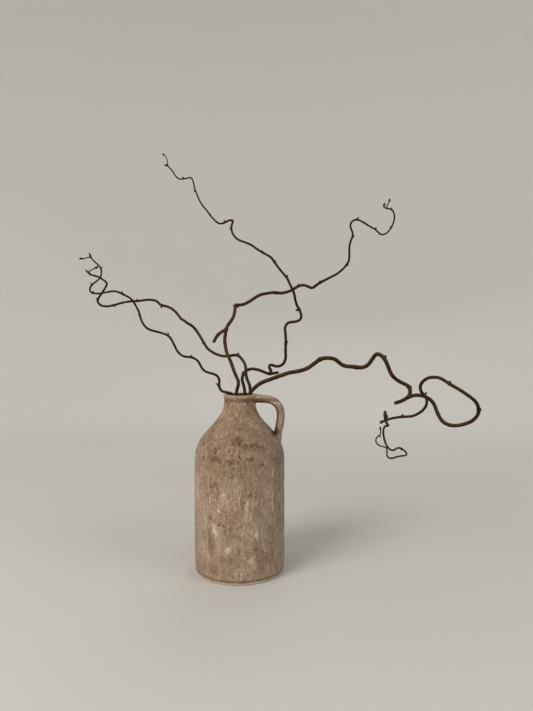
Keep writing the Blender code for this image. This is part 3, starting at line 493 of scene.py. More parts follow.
def add(tree, kind, inputs=None, out=0, stops=(), captures=None, **settings):
    """The first output of a new node, or the one that out names.

    Stops: a colour ramp's positions and hex codes. Captures: names and types of what a capture node keeps.
    """
    node = tree.nodes.new(kind)
    for name, value in settings.items():
        setattr(node, name, value)
    for name, value in (captures or {}).items():
        node.capture_items.new(value, name)
    for number, (position, code) in enumerate(stops):
        elements = node.color_ramp.elements
        element = elements[number] if number < 2 else elements.new(position)
        element.position, element.color = position, srgb(code)
    feed(node, inputs or {})
    return node.outputs[out]


def geometry_tree(name, sizes):
    """A Geometry Nodes tree with named inputs, and the sockets that bring them in."""
    tree = bpy.data.node_groups.new(name, "GeometryNodeTree")
    tree.interface.new_socket("Geometry", in_out="INPUT", socket_type="NodeSocketGeometry")
    tree.interface.new_socket("Geometry", in_out="OUTPUT", socket_type="NodeSocketGeometry")
    for label, value in sizes.items():
        kind = "NodeSocketInt" if isinstance(value, int) else "NodeSocketFloat"
        tree.interface.new_socket(label, in_out="INPUT", socket_type=kind)
    return tree, tree.nodes.new("NodeGroupInput").outputs


def end_with(tree, geometry, material):
    """Give the geometry its material and send it out of the tree."""
    finished = add(tree, "GeometryNodeSetMaterial", {"Geometry": geometry, "Material": material})
    feed(tree.nodes.new("NodeGroupOutput"), {0: finished})


def grown(piece, tree, sizes):
    """The mesh that a tree makes of a piece with these sizes; the piece is used up."""
    modifier = piece.modifiers.new(tree.name, "NODES")
    modifier.node_group = tree
    for item in tree.interface.items_tree:
        if item.item_type == "SOCKET" and item.in_out == "INPUT" and item.name in sizes:
            modifier[item.identifier] = sizes[item.name]
    mesh = bpy.data.meshes.new_from_object(piece.evaluated_get(bpy.context.evaluated_depsgraph_get()))
    bpy.data.objects.remove(piece, do_unlink=True)
    return mesh


def new_object(name, data):
    """An object of that data, in the scene."""
    piece = bpy.data.objects.new(name, data)
    bpy.context.scene.collection.objects.link(piece)
    return piece


def new_mesh(name, places, faces, edges=(), unit=MM):
    """A mesh of places, in mm unless unit says otherwise."""
    mesh = bpy.data.meshes.new(name)
    mesh.from_pydata((np.array(places) * unit).tolist(), edges, faces)
    return mesh


def joined(name, pieces):
    """One object of several, with their material slots and attributes."""
    with bpy.context.temp_override(
        active_object=pieces[0], object=pieces[0], selected_objects=pieces, selected_editable_objects=pieces,
    ):
        bpy.ops.object.join()
    pieces[0].name = name
    pieces[0].data.name = name
    return pieces[0]


def keep(mesh, name, values, domain="POINT"):
    """Keep a number or a vector with each point of the mesh, or with each face."""
    values = np.asarray(values, np.float32)
    kind, field = ("FLOAT", "value") if values.ndim == 1 else ("FLOAT_VECTOR", "vector")
    mesh.attributes.new(name, kind, domain).data.foreach_set(field, values.ravel())


def run_of(rows):
    """The distance along rows of places from their start, in mm."""
    return np.concatenate([[0.0], np.cumsum(np.linalg.norm(np.diff(rows[:, :3], axis=0), axis=1))])


def heading(rows):
    """The direction of a line at each of its places, with length 1."""
    along = np.gradient(rows, axis=0)
    return along / np.linalg.norm(along, axis=1)[:, None]


def ring_faces(rings, sides, start=0, flipped=False):
    """The quads between rings of so many places each, from place number start on; flipped, they face back."""
    faces = []
    for first in range(start, start + (rings - 1) * sides, sides):
        for k in range(sides):
            a, b = first + k, first + (k + 1) % sides
            faces.append((a, a + sides, b + sides, b) if flipped else (a, b, b + sides, a + sides))
    return faces


# Routes

def from_view(points):
    """Real places, in mm, of rows (across, up, behind, thick) as the eye sees them on the axis's plane."""
    across, up, behind, thick = points.T
    spread = 1 + behind / -EYE[1]
    return np.column_stack([
        EYE[0] + (across - EYE[0]) * spread,
        behind,
        EYE[2] + (up - EYE[2]) * spread,
        thick * spread,
    ])


def full_route(waypoints, curl=None, start_behind=0.0):
    """Rows (across, up, behind, thick) for every waypoint."""
    flat = np.array([point[:2] for point in waypoints], float)
    run = run_of(flat)
    given = [i for i, point in enumerate(waypoints) if len(point) == 4]
    behind = start_behind + np.interp(run, run[given], [waypoints[i][2] for i in given])
    thick = np.interp(run, run[given], [waypoints[i][3] for i in given])
    if curl:
        reach, pitch, start = curl
        fade = np.clip((run - CURL_STARTS) / (CURL_FULL - CURL_STARTS), 0, 1)
        turn = 2 * np.pi * (run / pitch + start)
        wave = np.sin(turn) + CURL_SECOND_REACH * np.sin(CURL_SECOND_TURNS * turn + 1)
        behind = behind + reach * fade * wave
    return np.column_stack([flat, behind, thick])


def nearest_behind(routes, across, up):
    """How far behind the axis the wood nearest to a place in the view lies."""
    rows = np.vstack(routes)
    nearest = np.argmin(np.hypot(rows[:, 0] - across, rows[:, 1] - up))
    return rows[nearest, 2]


def smooth_route(points):
    """Rows (x, y, z, thick) on a smooth curve through the points, close together where the wood shows."""
    steps = np.linalg.norm(np.diff(points[:, :3], axis=0), axis=1)[:, None]
    slopes = np.diff(points, axis=0) / steps
    middle = (slopes[:-1] * steps[1:] + slopes[1:] * steps[:-1]) / (steps[:-1] + steps[1:])
    tangents = np.vstack([slopes[:1], middle, slopes[-1:]])
    rows = []
    for i, step in enumerate(steps[:, 0]):
        apart = WOOD_ROW if max(points[i, 2], points[i + 1, 2]) > HIDDEN_UP else WOOD_ROW_HIDDEN
        parts = int(np.ceil(step / apart))
        for t in np.arange(parts) / parts:
            rows.append(
                (2 * t**3 - 3 * t**2 + 1) * points[i]
                + (t**3 - 2 * t**2 + t) * step * tangents[i]
                + (3 * t**2 - 2 * t**3) * points[i + 1]
                + (t**3 - t**2) * step * tangents[i + 1]
            )
    rows.append(points[-1])
    return np.array(rows)


def branch_routes(routes):
    """A branch's strands, leader first, and its buds as pairs of rows, foot and tip; all as real places."""
    leader = full_route(routes["leader"], routes["curl"])
    seen = [leader]
    for shoot in routes["shoots"]:
        seen.append(full_route(shoot, start_behind=nearest_behind(seen, *shoot[0][:2])))
    strands = [np.vstack([np.array(routes["stem"], float), from_view(leader)])]
    strands += [from_view(route) for route in seen[1:]]
    buds = []
    for foot_across, foot_up, tip_across, tip_up, thick in routes["buds"]:
        behind = nearest_behind(seen, foot_across, foot_up)
        ends = [(foot_across, foot_up, behind, thick), (tip_across, tip_up, behind, thick)]
        buds.append(from_view(np.array(ends)))
    return strands, buds


# Wood

def split_strand(points):
    """A strand's wood, and its end bud as foot and tip rows, or None where the strand was cut off."""
    if points[-1, 3] > END_BUD_TIP:
        return points, None
    fattest = len(points) - END_BUD_POINTS + int(np.argmax(points[-END_BUD_POINTS:, 3]))
    foot = (points[fattest - 1] + points[fattest]) / 2
    foot[3] = points[fattest, 3] * BUD_SCALES_STAND_OUT
    return points[:fattest + 1], np.array([foot, points[-1]])


def knob_points(foot, tip):
    """A knob of wood: the rest of a spur, rooted in the middle of the wood that it grew from."""
    rows = foot + (tip - foot) * KNOB_SHARES[:, None]
    rows[:, 3] = foot[3] * KNOB_WIDTHS
    return rows


def swollen(rows, nodes, rooted):
    """The rows, thicker at the wood's nodes, and flared at the root where it grew out of other wood."""
    run = run_of(rows)
    gain = np.ones(len(rows))
    for node in nodes:
        nearest = np.argmin(np.linalg.norm(rows[:, :3] - node[:3], axis=1))
        if np.linalg.norm(rows[nearest, :3] - node[:3]) < NODE_REACH:
            gain += NODE_SWELLING * np.exp(-((run - run[nearest]) / NODE_LENGTH) ** 2)
    if rooted:
        gain += ROOT_FLARE * np.exp(-run / ROOT_FLARE_LENGTH)
    rows = rows.copy()
    rows[:, 3] *= gain
    return rows


def wood_lines(name, strands):
    """A mesh of the strands' middle lines, with what the wood tree reads on their points."""
    edges, bends, start = [], [], 0
    for rows in strands:
        edges += [(start + i, start + i + 1) for i in range(len(rows) - 1)]
        start += len(rows)
        run = run_of(rows)
        bends.append(np.gradient(np.gradient(rows[:, :3], run, axis=0), run, axis=0))
    places = np.vstack(strands)
    mesh = new_mesh(name, places[:, :3], [], edges)
    keep(mesh, "thick", places[:, 3])
    keep(mesh, "bend", np.vstack(bends))
    keep(mesh, "shown", places[:, 2] > HIDDEN_UP)
    return new_object(name, mesh)


def bark_places(tree, given, along, around, radius):
    """The place on the bark, in mm: two coordinates round the wood, turning as it grew, and one along it."""
    turn = add(tree, "ShaderNodeMath", {0: along, 1: given["Twist"]}, operation="MULTIPLY")
    angle = add(tree, "ShaderNodeMath", {0: around, 1: 2 * math.pi, 2: turn}, operation="MULTIPLY_ADD")
    cosine = add(tree, "ShaderNodeMath", {0: angle}, operation="COSINE")
    sine = add(tree, "ShaderNodeMath", {0: angle}, operation="SINE")
    unit = add(tree, "ShaderNodeCombineXYZ", {0: cosine, 1: sine})
    circled = add(tree, "ShaderNodeVectorMath", {0: unit, "Scale": radius}, operation="SCALE")
    level = add(tree, "ShaderNodeMath", {0: along, 1: given["Start"]}, operation="ADD")
    lifted = add(tree, "ShaderNodeCombineXYZ", {2: level})
    return add(tree, "ShaderNodeVectorMath", {0: circled, 1: lifted}, operation="ADD")


def bark_streaks(tree, given, place):
    """A noise stretched along the wood, and the bark's rise: a narrow groove where it crosses its middle."""
    across = add(tree, "ShaderNodeMath", {0: 1.0, 1: given["Wrinkle width"]}, operation="DIVIDE")
    length = add(tree, "ShaderNodeMath", {0: 1.0, 1: given["Wrinkle length"]}, operation="DIVIDE")
    stretch = add(tree, "ShaderNodeCombineXYZ", {0: across, 1: across, 2: length})
    streaked = add(tree, "ShaderNodeVectorMath", {0: place, 1: stretch}, operation="MULTIPLY")
    streaks = add(tree, "ShaderNodeTexNoise", {"Vector": streaked, "Scale": 1.0, "Detail": 2.0})
    middling = add(tree, "ShaderNodeMath", {0: streaks, 1: 0.5}, operation="SUBTRACT")
    aside = add(tree, "ShaderNodeMath", {0: middling}, operation="ABSOLUTE")
    ridge = add(tree, "ShaderNodeMapRange", {0: aside, 1: 0.0, 2: GROOVE_HALF, 3: -1.0, 4: RIDGE_RISE})
    return streaks, ridge


def wood_lumps(tree, given, place, radius):
    """Slow swellings, in mm, in step with the wood's own radius."""
    spread = add(tree, "ShaderNodeMath", {0: 1.0, 1: given["Lump length"]}, operation="DIVIDE")
    lumps = add(tree, "ShaderNodeTexNoise", {"Vector": place, "Scale": spread, "Detail": 1.0})
    rise = add(tree, "ShaderNodeMath", {0: lumps, 1: 0.5}, operation="SUBTRACT")
    share = add(tree, "ShaderNodeMath", {0: rise, 1: given["Lump share"]}, operation="MULTIPLY")
    return add(tree, "ShaderNodeMath", {0: share, 1: radius}, operation="MULTIPLY")


def bend_creases(tree, given, along, streaks, outward, bend):
    """Folds across the wood, in mm, on the inner side of a bend; bend is the curvature in 1/mm."""
    facing = add(tree, "ShaderNodeVectorMath", {0: outward, 1: bend}, "Value", operation="DOT_PRODUCT")
    slight, tight = CREASE_BENDS
    folded = add(tree, "ShaderNodeMapRange", {0: facing, 1: slight, 2: tight, 3: 0.0, 4: 1.0})
    beat = add(tree, "ShaderNodeMath", {0: along, 1: given["Crease pitch"]}, operation="DIVIDE")
    uneven = add(tree, "ShaderNodeMath", {0: streaks, 1: CREASE_WAVER, 2: beat}, operation="MULTIPLY_ADD")
    phase = add(tree, "ShaderNodeMath", {0: uneven, 1: 2 * math.pi}, operation="MULTIPLY")
    wave = add(tree, "ShaderNodeMath", {0: phase}, operation="SINE")
    fold = add(tree, "ShaderNodeMath", {0: wave, 1: folded}, operation="MULTIPLY")
    return add(tree, "ShaderNodeMath", {0: fold, 1: given["Crease depth"]}, operation="MULTIPLY")


def lenticels(tree, given, wood, shown, tangent):
    """Corky dots on the wood, a little wider across it than along it."""
    dots = add(
        tree, "GeometryNodeDistributePointsOnFaces",
        {
            "Mesh": wood, "Selection": shown, "Distance Min": given["Lenticel gap"],
            "Density Max": given["Lenticels to 1 m2"], "Seed": given["Seed"],
        },
        distribute_method="POISSON",
    ).node.outputs
    sideways = add(tree, "ShaderNodeVectorMath", {0: dots["Normal"], 1: tangent}, operation="CROSS_PRODUCT")
    facing_out = add(
        tree, "FunctionNodeAxesToRotation", {"Primary Axis": dots["Normal"], "Secondary Axis": sideways},
        primary_axis="Z", secondary_axis="X",
    )
    dot = add(tree, "GeometryNodeMeshUVSphere", {"Segments": 7, "Rings": 4, "Radius": MM / 2})
    size = add(
        tree, "FunctionNodeRandomValue", {"Min": LENTICEL_SMALLEST, "Max": 1.0, "Seed": given["Seed"]},
        "Value", data_type="FLOAT",
    )
    flat = add(tree, "ShaderNodeVectorMath", {0: LENTICEL_SHAPE, "Scale": size}, operation="SCALE")
    corky = add(tree, "GeometryNodeInstanceOnPoints", {
        "Points": dots["Points"], "Instance": dot, "Rotation": facing_out, "Scale": flat,
    })
    return add(tree, "GeometryNodeRealizeInstances", {"Geometry": corky})


def wood_tree(bark, cork):
    """Wood along a route: wrinkled lengthwise, lumpy, creased inside tight bends, dotted with lenticels."""
    tree, given = geometry_tree("wood_along_a_route", WOOD_SIZES)
    position = add(tree, "GeometryNodeInputPosition")
    parameter = add(tree, "GeometryNodeSplineParameter").node.outputs
    thick, bend, shown = (
        add(tree, "GeometryNodeInputNamedAttribute", {"Name": name}, data_type=kind)
        for name, kind in (("thick", "FLOAT"), ("bend", "FLOAT_VECTOR"), ("shown", "FLOAT"))
    )

    route = add(tree, "GeometryNodeMeshToCurve", {"Mesh": given["Geometry"]})
    tangent = add(tree, "GeometryNodeInputTangent")
    line = add(
        tree, "GeometryNodeCaptureAttribute",
        {"Geometry": route, "along": parameter["Length"], "middle": position, "tangent": tangent},
        captures={"along": "FLOAT", "middle": "VECTOR", "tangent": "VECTOR"}, domain="POINT",
    ).node.outputs
    circle = add(tree, "GeometryNodeCurvePrimitiveCircle", {"Resolution": given["Sides"], "Radius": 1.0})
    ring = add(
        tree, "GeometryNodeCaptureAttribute", {"Geometry": circle, "around": parameter["Factor"]},
        captures={"around": "FLOAT"}, domain="POINT",
    ).node.outputs
    half = add(tree, "ShaderNodeMath", {0: thick, 1: MM / 2}, operation="MULTIPLY")
    tube = add(tree, "GeometryNodeCurveToMesh", {
        "Curve": line["Geometry"], "Profile Curve": ring["Geometry"], "Scale": half, "Fill Caps": True,
    })

    along = add(tree, "ShaderNodeMath", {0: line["along"], 1: 1 / MM}, operation="MULTIPLY")
    radius = add(tree, "ShaderNodeMath", {0: thick, 1: 0.5}, operation="MULTIPLY")
    place = bark_places(tree, given, along, ring["around"], radius)
    from_middle = add(tree, "ShaderNodeVectorMath", {0: position, 1: line["middle"]}, operation="SUBTRACT")
    outward = add(tree, "ShaderNodeVectorMath", {0: from_middle}, operation="NORMALIZE")
    streaks, ridge = bark_streaks(tree, given, place)
    wrinkle = add(tree, "ShaderNodeMath", {0: ridge, 1: given["Wrinkle depth"]}, operation="MULTIPLY")
    lump = wood_lumps(tree, given, place, radius)
    crease = bend_creases(tree, given, along, streaks, outward, bend)
    relief = add(tree, "ShaderNodeMath", {0: wrinkle, 1: lump}, operation="ADD")
    relief = add(tree, "ShaderNodeMath", {0: relief, 1: crease}, operation="ADD")
    metres = add(tree, "ShaderNodeMath", {0: relief, 1: MM}, operation="MULTIPLY")
    offset = add(tree, "ShaderNodeVectorMath", {0: outward, "Scale": metres}, operation="SCALE")

    wood = tube
    for name, kind, value in (("bark_place", "FLOAT_VECTOR", place), ("groove", "FLOAT", ridge)):
        marks = {"Geometry": wood, "Name": name, "Value": value}
        wood = add(tree, "GeometryNodeStoreNamedAttribute", marks, data_type=kind)
    wood = add(tree, "GeometryNodeSetPosition", {"Geometry": wood, "Offset": offset})
    wood = add(tree, "GeometryNodeSetShadeSmooth", {"Geometry": wood})
    wood = add(tree, "GeometryNodeSetMaterial", {"Geometry": wood, "Material": bark})
    corked = lenticels(tree, given, wood, shown, line["tangent"])
    corked = add(tree, "GeometryNodeSetMaterial", {"Geometry": corked, "Material": cork})
    corked = add(tree, "GeometryNodeSetShadeSmooth", {"Geometry": corked})
    whole = add(tree, "GeometryNodeJoinGeometry", {0: wood})
    feed(whole.node, {0: corked})
    feed(tree.nodes.new("NodeGroupOutput"), {0: whole})
    return tree


# Buds and cut ends

def bud_scale(number):
    """The places on one scale, broad low down and drawn to a round point, and how near its edge each lies."""
    heights, radii = zip(*BUD_OUTLINE)
    middle = number * SCALE_TURN
    low = SCALE_LOWEST + SCALE_CLIMB * number / (BUD_SCALES - 1)
    places, edges = [], []
    for row in range(SCALE_GRID):
        up = row / (SCALE_GRID - 1)
        half_width = SCALE_HALF_WIDTH * math.sqrt(max(0.0, 1 - up ** 2.4)) * (0.75 + 0.25 * up) + 0.02
        for column in range(SCALE_GRID):
            side = 2 * column / (SCALE_GRID - 1) - 1
            angle = middle + side * half_width
            level = min(max(low + SCALE_LENGTH * up - 0.04 * side * side, 0.0), 1.0)
            rim = max(abs(side) ** 3, up ** 4)
            # The scale stands off the outline, least along its own edge and towards the bud's tip.
            stand_off = 0.03 + 0.035 * (1 - side * side) - 0.03 * rim + 0.02 * up
            radius = float(np.interp(level, heights, radii)) + stand_off * (1 - 0.6 * level)
            places.append((radius * math.cos(angle), radius * math.sin(angle), level))
            edges.append(rim)
    return places, edges


def bud_master(material):
    """A dormant bud, 1 m long from its foot and 1 m wide: overlapping scales round a core."""
    places = [
        (CORE_SHARE * radius * math.cos(turn), CORE_SHARE * radius * math.sin(turn), height)
        for height, radius in BUD_OUTLINE
        for turn in 2 * np.pi * np.arange(BUD_SIDES) / BUD_SIDES
    ]
    # The core counts as all edge, so it takes the dark edge colour: painted shade where it shows between the
    # scales.
    edges = [1.0] * len(places)
    faces = ring_faces(len(BUD_OUTLINE), BUD_SIDES)
    for number in range(BUD_SCALES):
        start = len(places)
        scale_places, scale_edges = bud_scale(number)
        places += scale_places
        edges += scale_edges
        for row in range(SCALE_GRID - 1):
            for a in range(start + row * SCALE_GRID, start + (row + 1) * SCALE_GRID - 1):
                faces.append((a, a + 1, a + 1 + SCALE_GRID, a + SCALE_GRID))
    mesh = new_mesh("bud_master", places, faces, unit=1.0)
    keep(mesh, "scale_edge_and_core_shade", edges)
    mesh.shade_smooth()
    mesh.materials.append(material)
    return new_object("bud_master", mesh)


def bud_tree(master):
    """A bud on every point: pointing along it, as long and as wide as its size says, turned at random."""
    tree, given = geometry_tree("buds_on_points", {"Seed": 1})
    pointing, size = (
        add(tree, "GeometryNodeInputNamedAttribute", {"Name": name}, data_type="FLOAT_VECTOR")
        for name in ("pointing", "size")
    )
    upright = add(tree, "FunctionNodeAlignRotationToVector", {"Vector": pointing}, axis="Z")
    spin = add(
        tree, "FunctionNodeRandomValue", {"Min": 0.0, "Max": 2 * math.pi, "Seed": given["Seed"]}, "Value",
        data_type="FLOAT",
    )
    spun = add(tree, "FunctionNodeAxisAngleToRotation", {"Axis": (0, 0, 1), "Angle": spin})
    turned = add(
        tree, "FunctionNodeRotateRotation", {"Rotation": upright, "Rotate By": spun}, rotation_space="LOCAL",
    )
    shape = add(tree, "GeometryNodeObjectInfo", {"Object": master}, "Geometry")
    placed = add(tree, "GeometryNodeInstanceOnPoints", {
        "Points": given["Geometry"], "Instance": shape, "Rotation": turned, "Scale": size,
    })
    end_with(tree, add(tree, "GeometryNodeRealizeInstances", {"Geometry": placed}), master.data.materials[0])
    return tree


def bud_points(name, buds):
    """A mesh of loose points, one for each bud (foot row, tip row), with where it points and its size."""
    feet = np.array([foot[:3] for foot, tip in buds])
    pointing = np.array([tip[:3] - foot[:3] for foot, tip in buds])
    long = np.linalg.norm(pointing, axis=1)
    wide = np.array([foot[3] for foot, tip in buds])
    mesh = new_mesh(name, feet, [])
    keep(mesh, "pointing", pointing / long[:, None])
    keep(mesh, "size", np.column_stack([wide, wide, long]) * MM)
    return new_object(name, mesh)


def cut_face(name, rows, material, seed):
    """The sawn end of a cut strand: a rough disc with growth rings round a small pith."""
    end, before = rows[-1], rows[-4]
    middle = Vector(end[:3])
    tangent = Vector(end[:3] - before[:3]).normalized()
    side = tangent.orthogonal().normalized()
    other = tangent.cross(side)
    radius = end[3] / 2 * CUT_FACE_SHARE
    chance = np.random.default_rng(seed)
    places, rings = [middle + tangent * CUT_PITH_PROUD], [0.0]
    for ring in range(1, CUT_RINGS + 1):
        reach = radius * ring / CUT_RINGS
        for angle in 2 * np.pi * np.arange(CUT_SIDES) / CUT_SIDES:
            proud = CUT_PROUD - CUT_DOME * (ring / CUT_RINGS) ** 4 + chance.uniform(-CUT_ROUGH, CUT_ROUGH)
            if ring == CUT_RINGS:
                proud = -CUT_RIM_SINKS
            places.append(
                middle + tangent * proud + (side * math.cos(angle) + other * math.sin(angle)) * reach
            )
            rings.append(reach)
    faces = [(0, 1 + k, 1 + (k + 1) % CUT_SIDES) for k in range(CUT_SIDES)]
    faces += ring_faces(CUT_RINGS, CUT_SIDES, start=1, flipped=True)
    mesh = new_mesh(name, places, faces)
    keep(mesh, "ring_radius", rings)
    mesh.shade_smooth()
    mesh.materials.append(material)
    return new_object(name, mesh)


def branch(name, routes, seed, growth, cut):
    """One branch of one piece: wood, buds and cut ends."""
    strands, small = branch_routes(routes)
    nodes = [foot for foot, tip in small]
    wood, buds, cuts = [], [], []
    for number, points in enumerate(strands):
        points, end_bud = split_strand(points)
        rows = swollen(smooth_route(points), nodes, rooted=number > 0)
        wood.append(rows)
        if end_bud is None:
            cuts.append(rows)
        else:
            buds.append(end_bud)
    for foot, tip in small:
        if foot[3] >= KNOB_THICK:
            wood.append(smooth_route(knob_points(foot, tip)))
        else:
            buds.append(np.array([foot, tip]))
    sizes = dict(WOOD_SIZES, Seed=seed, Start=seed * BARK_APART)
    wood_mesh = grown(wood_lines(name + "_lines", wood), growth["wood"], sizes)
    bud_mesh = grown(bud_points(name + "_points", buds), growth["buds"], {"Seed": seed})
    pieces = [new_object(name + "_wood", wood_mesh), new_object(name + "_buds", bud_mesh)]
    for number, rows in enumerate(cuts):
        pieces.append(cut_face(f"{name}_cut_{number}", rows, cut, seed + number))
    whole = joined(name + "_look", pieces)
    # How far each point faces up: the bark paints light above and shade below from it.
    keep(whole.data, "above", [vertex.normal.z for vertex in whole.data.vertices])
    return whole


# Jug

def arc(centre, radius, start, end, parts):
    """Points (radius, height) on an arc about centre, with both ends."""
    angles = np.radians(np.linspace(start, end, parts + 1))
    return [(centre[0] + radius * math.cos(a), centre[1] + radius * math.sin(a)) for a in angles]


def shoulder_points(inset):
    """The shoulder's curve moved squarely inwards by inset, top to bottom."""
    points = np.array(SHOULDER, float)
    along = heading(points)
    inward = np.column_stack([along[:, 1], -along[:, 0]])
    return [tuple(point) for point in points + inward * inset]


def evenly(points, apart):
    """Points along the line through these, about that far apart."""
    rows = np.array(points, float)
    run = run_of(rows)
    level = np.linspace(0, run[-1], max(1, int(round(run[-1] / apart))) + 1)
    return list(zip(np.interp(level, run, rows[:, 0]), np.interp(level, run, rows[:, 1])))


def rounded_corners(points, rounds=2):
    """The line with its corners cut that many times, ends kept."""
    rows = np.array(points, float)
    for _ in range(rounds):
        near = 0.75 * rows[:-1] + 0.25 * rows[1:]
        far = 0.25 * rows[:-1] + 0.75 * rows[1:]
        rows = np.vstack([rows[:1], np.stack([near, far], 1).reshape(-1, 2)[1:-1], rows[-1:]])
    return [tuple(row) for row in rows]


def jug_profile():
    """The jug's half section, from the underside's middle up the outside, over the lip and down inside."""
    lip = (NECK_RADIUS - NECK_BORE) / 2
    centre = (NECK_BORE + lip, JUG_HEIGHT - lip)
    outside = [(r + LIP_ROLL * (r - centre[0]) / lip, z) for r, z in arc(centre, lip, 90, -40, parts=12)]
    outside += NECK_LINES
    outside += evenly(rounded_corners(SHOULDER, 3), JUG_ROW)
    body = rounded_corners([SHOULDER[-1], *FOOT[:3]], 2)
    outside += evenly(body, JUG_ROW)[1:] + FOOT_GROOVE
    outside += evenly(rounded_corners(FOOT[3:], 2), JUG_ROW_FOOT)
    outside += evenly([FOOT[-1], (HUB_RADIUS, 0.0)], JUG_ROW_INSIDE)[1:]
    inside = arc(centre, lip, 90, 180, parts=8)[1:]
    inside += evenly([inside[-1]] + shoulder_points(WALL), JUG_ROW_INSIDE)[1:]
    corner = arc((BODY_RADIUS - WALL - FLOOR, 2 * FLOOR), FLOOR, 0, -90, parts=6)
    inside += evenly([inside[-1], corner[0]], JUG_ROW_INSIDE)[1:] + corner[1:]
    inside += evenly([corner[-1], (HUB_RADIUS, FLOOR)], JUG_ROW_INSIDE)[1:]
    return outside[::-1] + inside


def turned_mesh(name, profile, steps):
    """A closed mesh turned about Z from a half section of (radius, height), closed at both ends."""
    angles = 2 * np.pi * np.arange(steps) / steps
    profile = np.array(profile)
    places = np.stack([
        np.outer(profile[:, 0], np.cos(angles)), np.outer(profile[:, 0], np.sin(angles)),
        np.repeat(profile[:, 1][:, None], steps, 1),
    ], axis=2).reshape(-1, 3)
    faces = ring_faces(len(profile), steps)
    first, last, top = len(places), len(places) + 1, len(places) - steps
    places = np.vstack([places, [(0, 0, profile[0, 1]), (0, 0, profile[-1, 1])]])
    for k in range(steps):
        faces.append((first, (k + 1) % steps, k))
        faces.append((last, top + k, top + (k + 1) % steps))
    return new_mesh(name, places, faces)


def handle_mesh():
    """The bowed strap of the handle, oval across and wider where it was pressed on to the jug."""
    route = np.array(rounded_corners(HANDLE_ROUTE, 2))
    run = run_of(route)
    level = np.linspace(0, run[-1], int(run[-1] / JUG_ROW))
    line = np.column_stack([np.interp(level, run, route[:, 0]), np.interp(level, run, route[:, 1])])
    along = heading(line)
    flat, wide = np.full(len(line), HANDLE_THICK / 2), np.full(len(line), HANDLE_WIDTH / 2)
    flares = [
        np.exp(-((far - HANDLE_ROOT) / HANDLE_FLARE_LENGTH).clip(0) ** 1.5)
        for far in (level, run[-1] - level)
    ]
    flat *= 1 + HANDLE_THICKER[0] * flares[0] + HANDLE_THICKER[1] * flares[1]
    wide *= 1 + HANDLE_WIDER[0] * flares[0] + HANDLE_WIDER[1] * flares[1]
    places = []
    for i, (x, z) in enumerate(line):
        for angle in 2 * np.pi * np.arange(HANDLE_SIDES) / HANDLE_SIDES:
            # A superellipse: the strap was pulled and pressed flat, so its sides are squarer than an oval's.
            c, s = math.cos(angle), math.sin(angle)
            u = flat[i] * math.copysign(abs(c) ** HANDLE_SQUARE, c)
            v = wide[i] * math.copysign(abs(s) ** HANDLE_SQUARE, s)
            places.append((x + along[i, 1] * u, v, z - along[i, 0] * u))
    faces = ring_faces(len(line), HANDLE_SIDES)
    faces.append(tuple(range(HANDLE_SIDES))[::-1])
    faces.append(tuple(range(len(places) - HANDLE_SIDES, len(places))))
    mesh = new_mesh("handle", places, faces)
    shell = bmesh.new()
    shell.from_mesh(mesh)
    bmesh.ops.recalc_face_normals(shell, faces=shell.faces)
    shell.to_mesh(mesh)
    shell.free()
    return mesh


def fused(body, handle):
    """The jug with its handle on: one closed mesh, softened where they meet."""
    union = body.modifiers.new("fused", "BOOLEAN")
    union.operation = "UNION"
    union.solver = "EXACT"
    union.object = handle
    mesh = bpy.data.meshes.new_from_object(body.evaluated_get(bpy.context.evaluated_depsgraph_get()))
    shell = bmesh.new()
    shell.from_mesh(mesh)
    layer = shell.faces.layers.float["of_handle"]
    seam = {
        vertex for edge in shell.edges if len(edge.link_faces) == 2
        and abs(edge.link_faces[0][layer] - edge.link_faces[1][layer]) > 0.5 for vertex in edge.verts
    }
    near = set(seam)
    for _ in range(SEAM_RINGS):
        near |= {edge.other_vert(vertex) for vertex in near for edge in vertex.link_edges}
    for _ in range(SEAM_ROUNDS):
        bmesh.ops.smooth_vert(
            shell, verts=list(near), factor=0.5, use_axis_x=True, use_axis_y=True, use_axis_z=True,
        )
    shell.to_mesh(mesh)
    shell.free()
    bpy.data.objects.remove(body, do_unlink=True)
    bpy.data.objects.remove(handle, do_unlink=True)
    return new_object("jug_fused", mesh)


def sink_lip(mesh):
    """Sink the lip towards the front, where the rim is worn and uneven."""
    for vertex in mesh.vertices:
        high = max(0.0, vertex.co.z / MM - LIP_SINKS_FROM) / (JUG_HEIGHT - LIP_SINKS_FROM)
        ahead = max(0.0, -vertex.co.y / MM) / NECK_RADIUS
        vertex.co.z -= LIP_SINKS * min(1.0, ahead) ** 1.5 * high * MM


def clay_marks(mesh):
    """Keep with each point its slip and soot, the crevice where the clay takes painted shade and some dirt, and
    how far inside the handle it lies.
    """
    places = np.array([vertex.co for vertex in mesh.vertices]) / MM
    around = np.degrees(np.arctan2(places[:, 0], -places[:, 1]))
    reach = np.hypot(places[:, 0], places[:, 1])
    for name, marks in (("slip", SLIP), ("soot", SOOT)):
        amount = np.zeros(len(places))
        for angle, height, wide, tall, strength in marks:
            aside = np.radians((around - angle + 180) % 360 - 180) * reach
            amount += strength * np.exp(-(aside / wide) ** 2 - ((places[:, 2] - height) / tall) ** 2)
        keep(mesh, name, amount)
    away = np.hypot(places[:, 0] - CREVICE[0], places[:, 2] - CREVICE[1])
    keep(mesh, "crevice", np.exp(-(away / CREVICE_REACH) ** 2))

    # Inner: how far from the handle's middle line towards the side that faces the neck, as a share.
    line = np.array(rounded_corners(HANDLE_ROUTE, 2))
    along = heading(line)
    beside = places[:, None, [0, 2]] - line[None]
    nearest = np.argmin((beside ** 2).sum(axis=2), axis=1)
    beside = beside[np.arange(len(places)), nearest]
    inwards = beside[:, 0] * along[nearest, 1] - beside[:, 1] * along[nearest, 0]
    close = np.linalg.norm(beside, axis=1) < HANDLE_THICK * HANDLE_NEAR
    on_handle = close & (abs(places[:, 1]) < HANDLE_WIDTH * HANDLE_NEAR)
    keep(mesh, "inner", np.where(on_handle, inwards / (HANDLE_THICK / 2), 0.0))


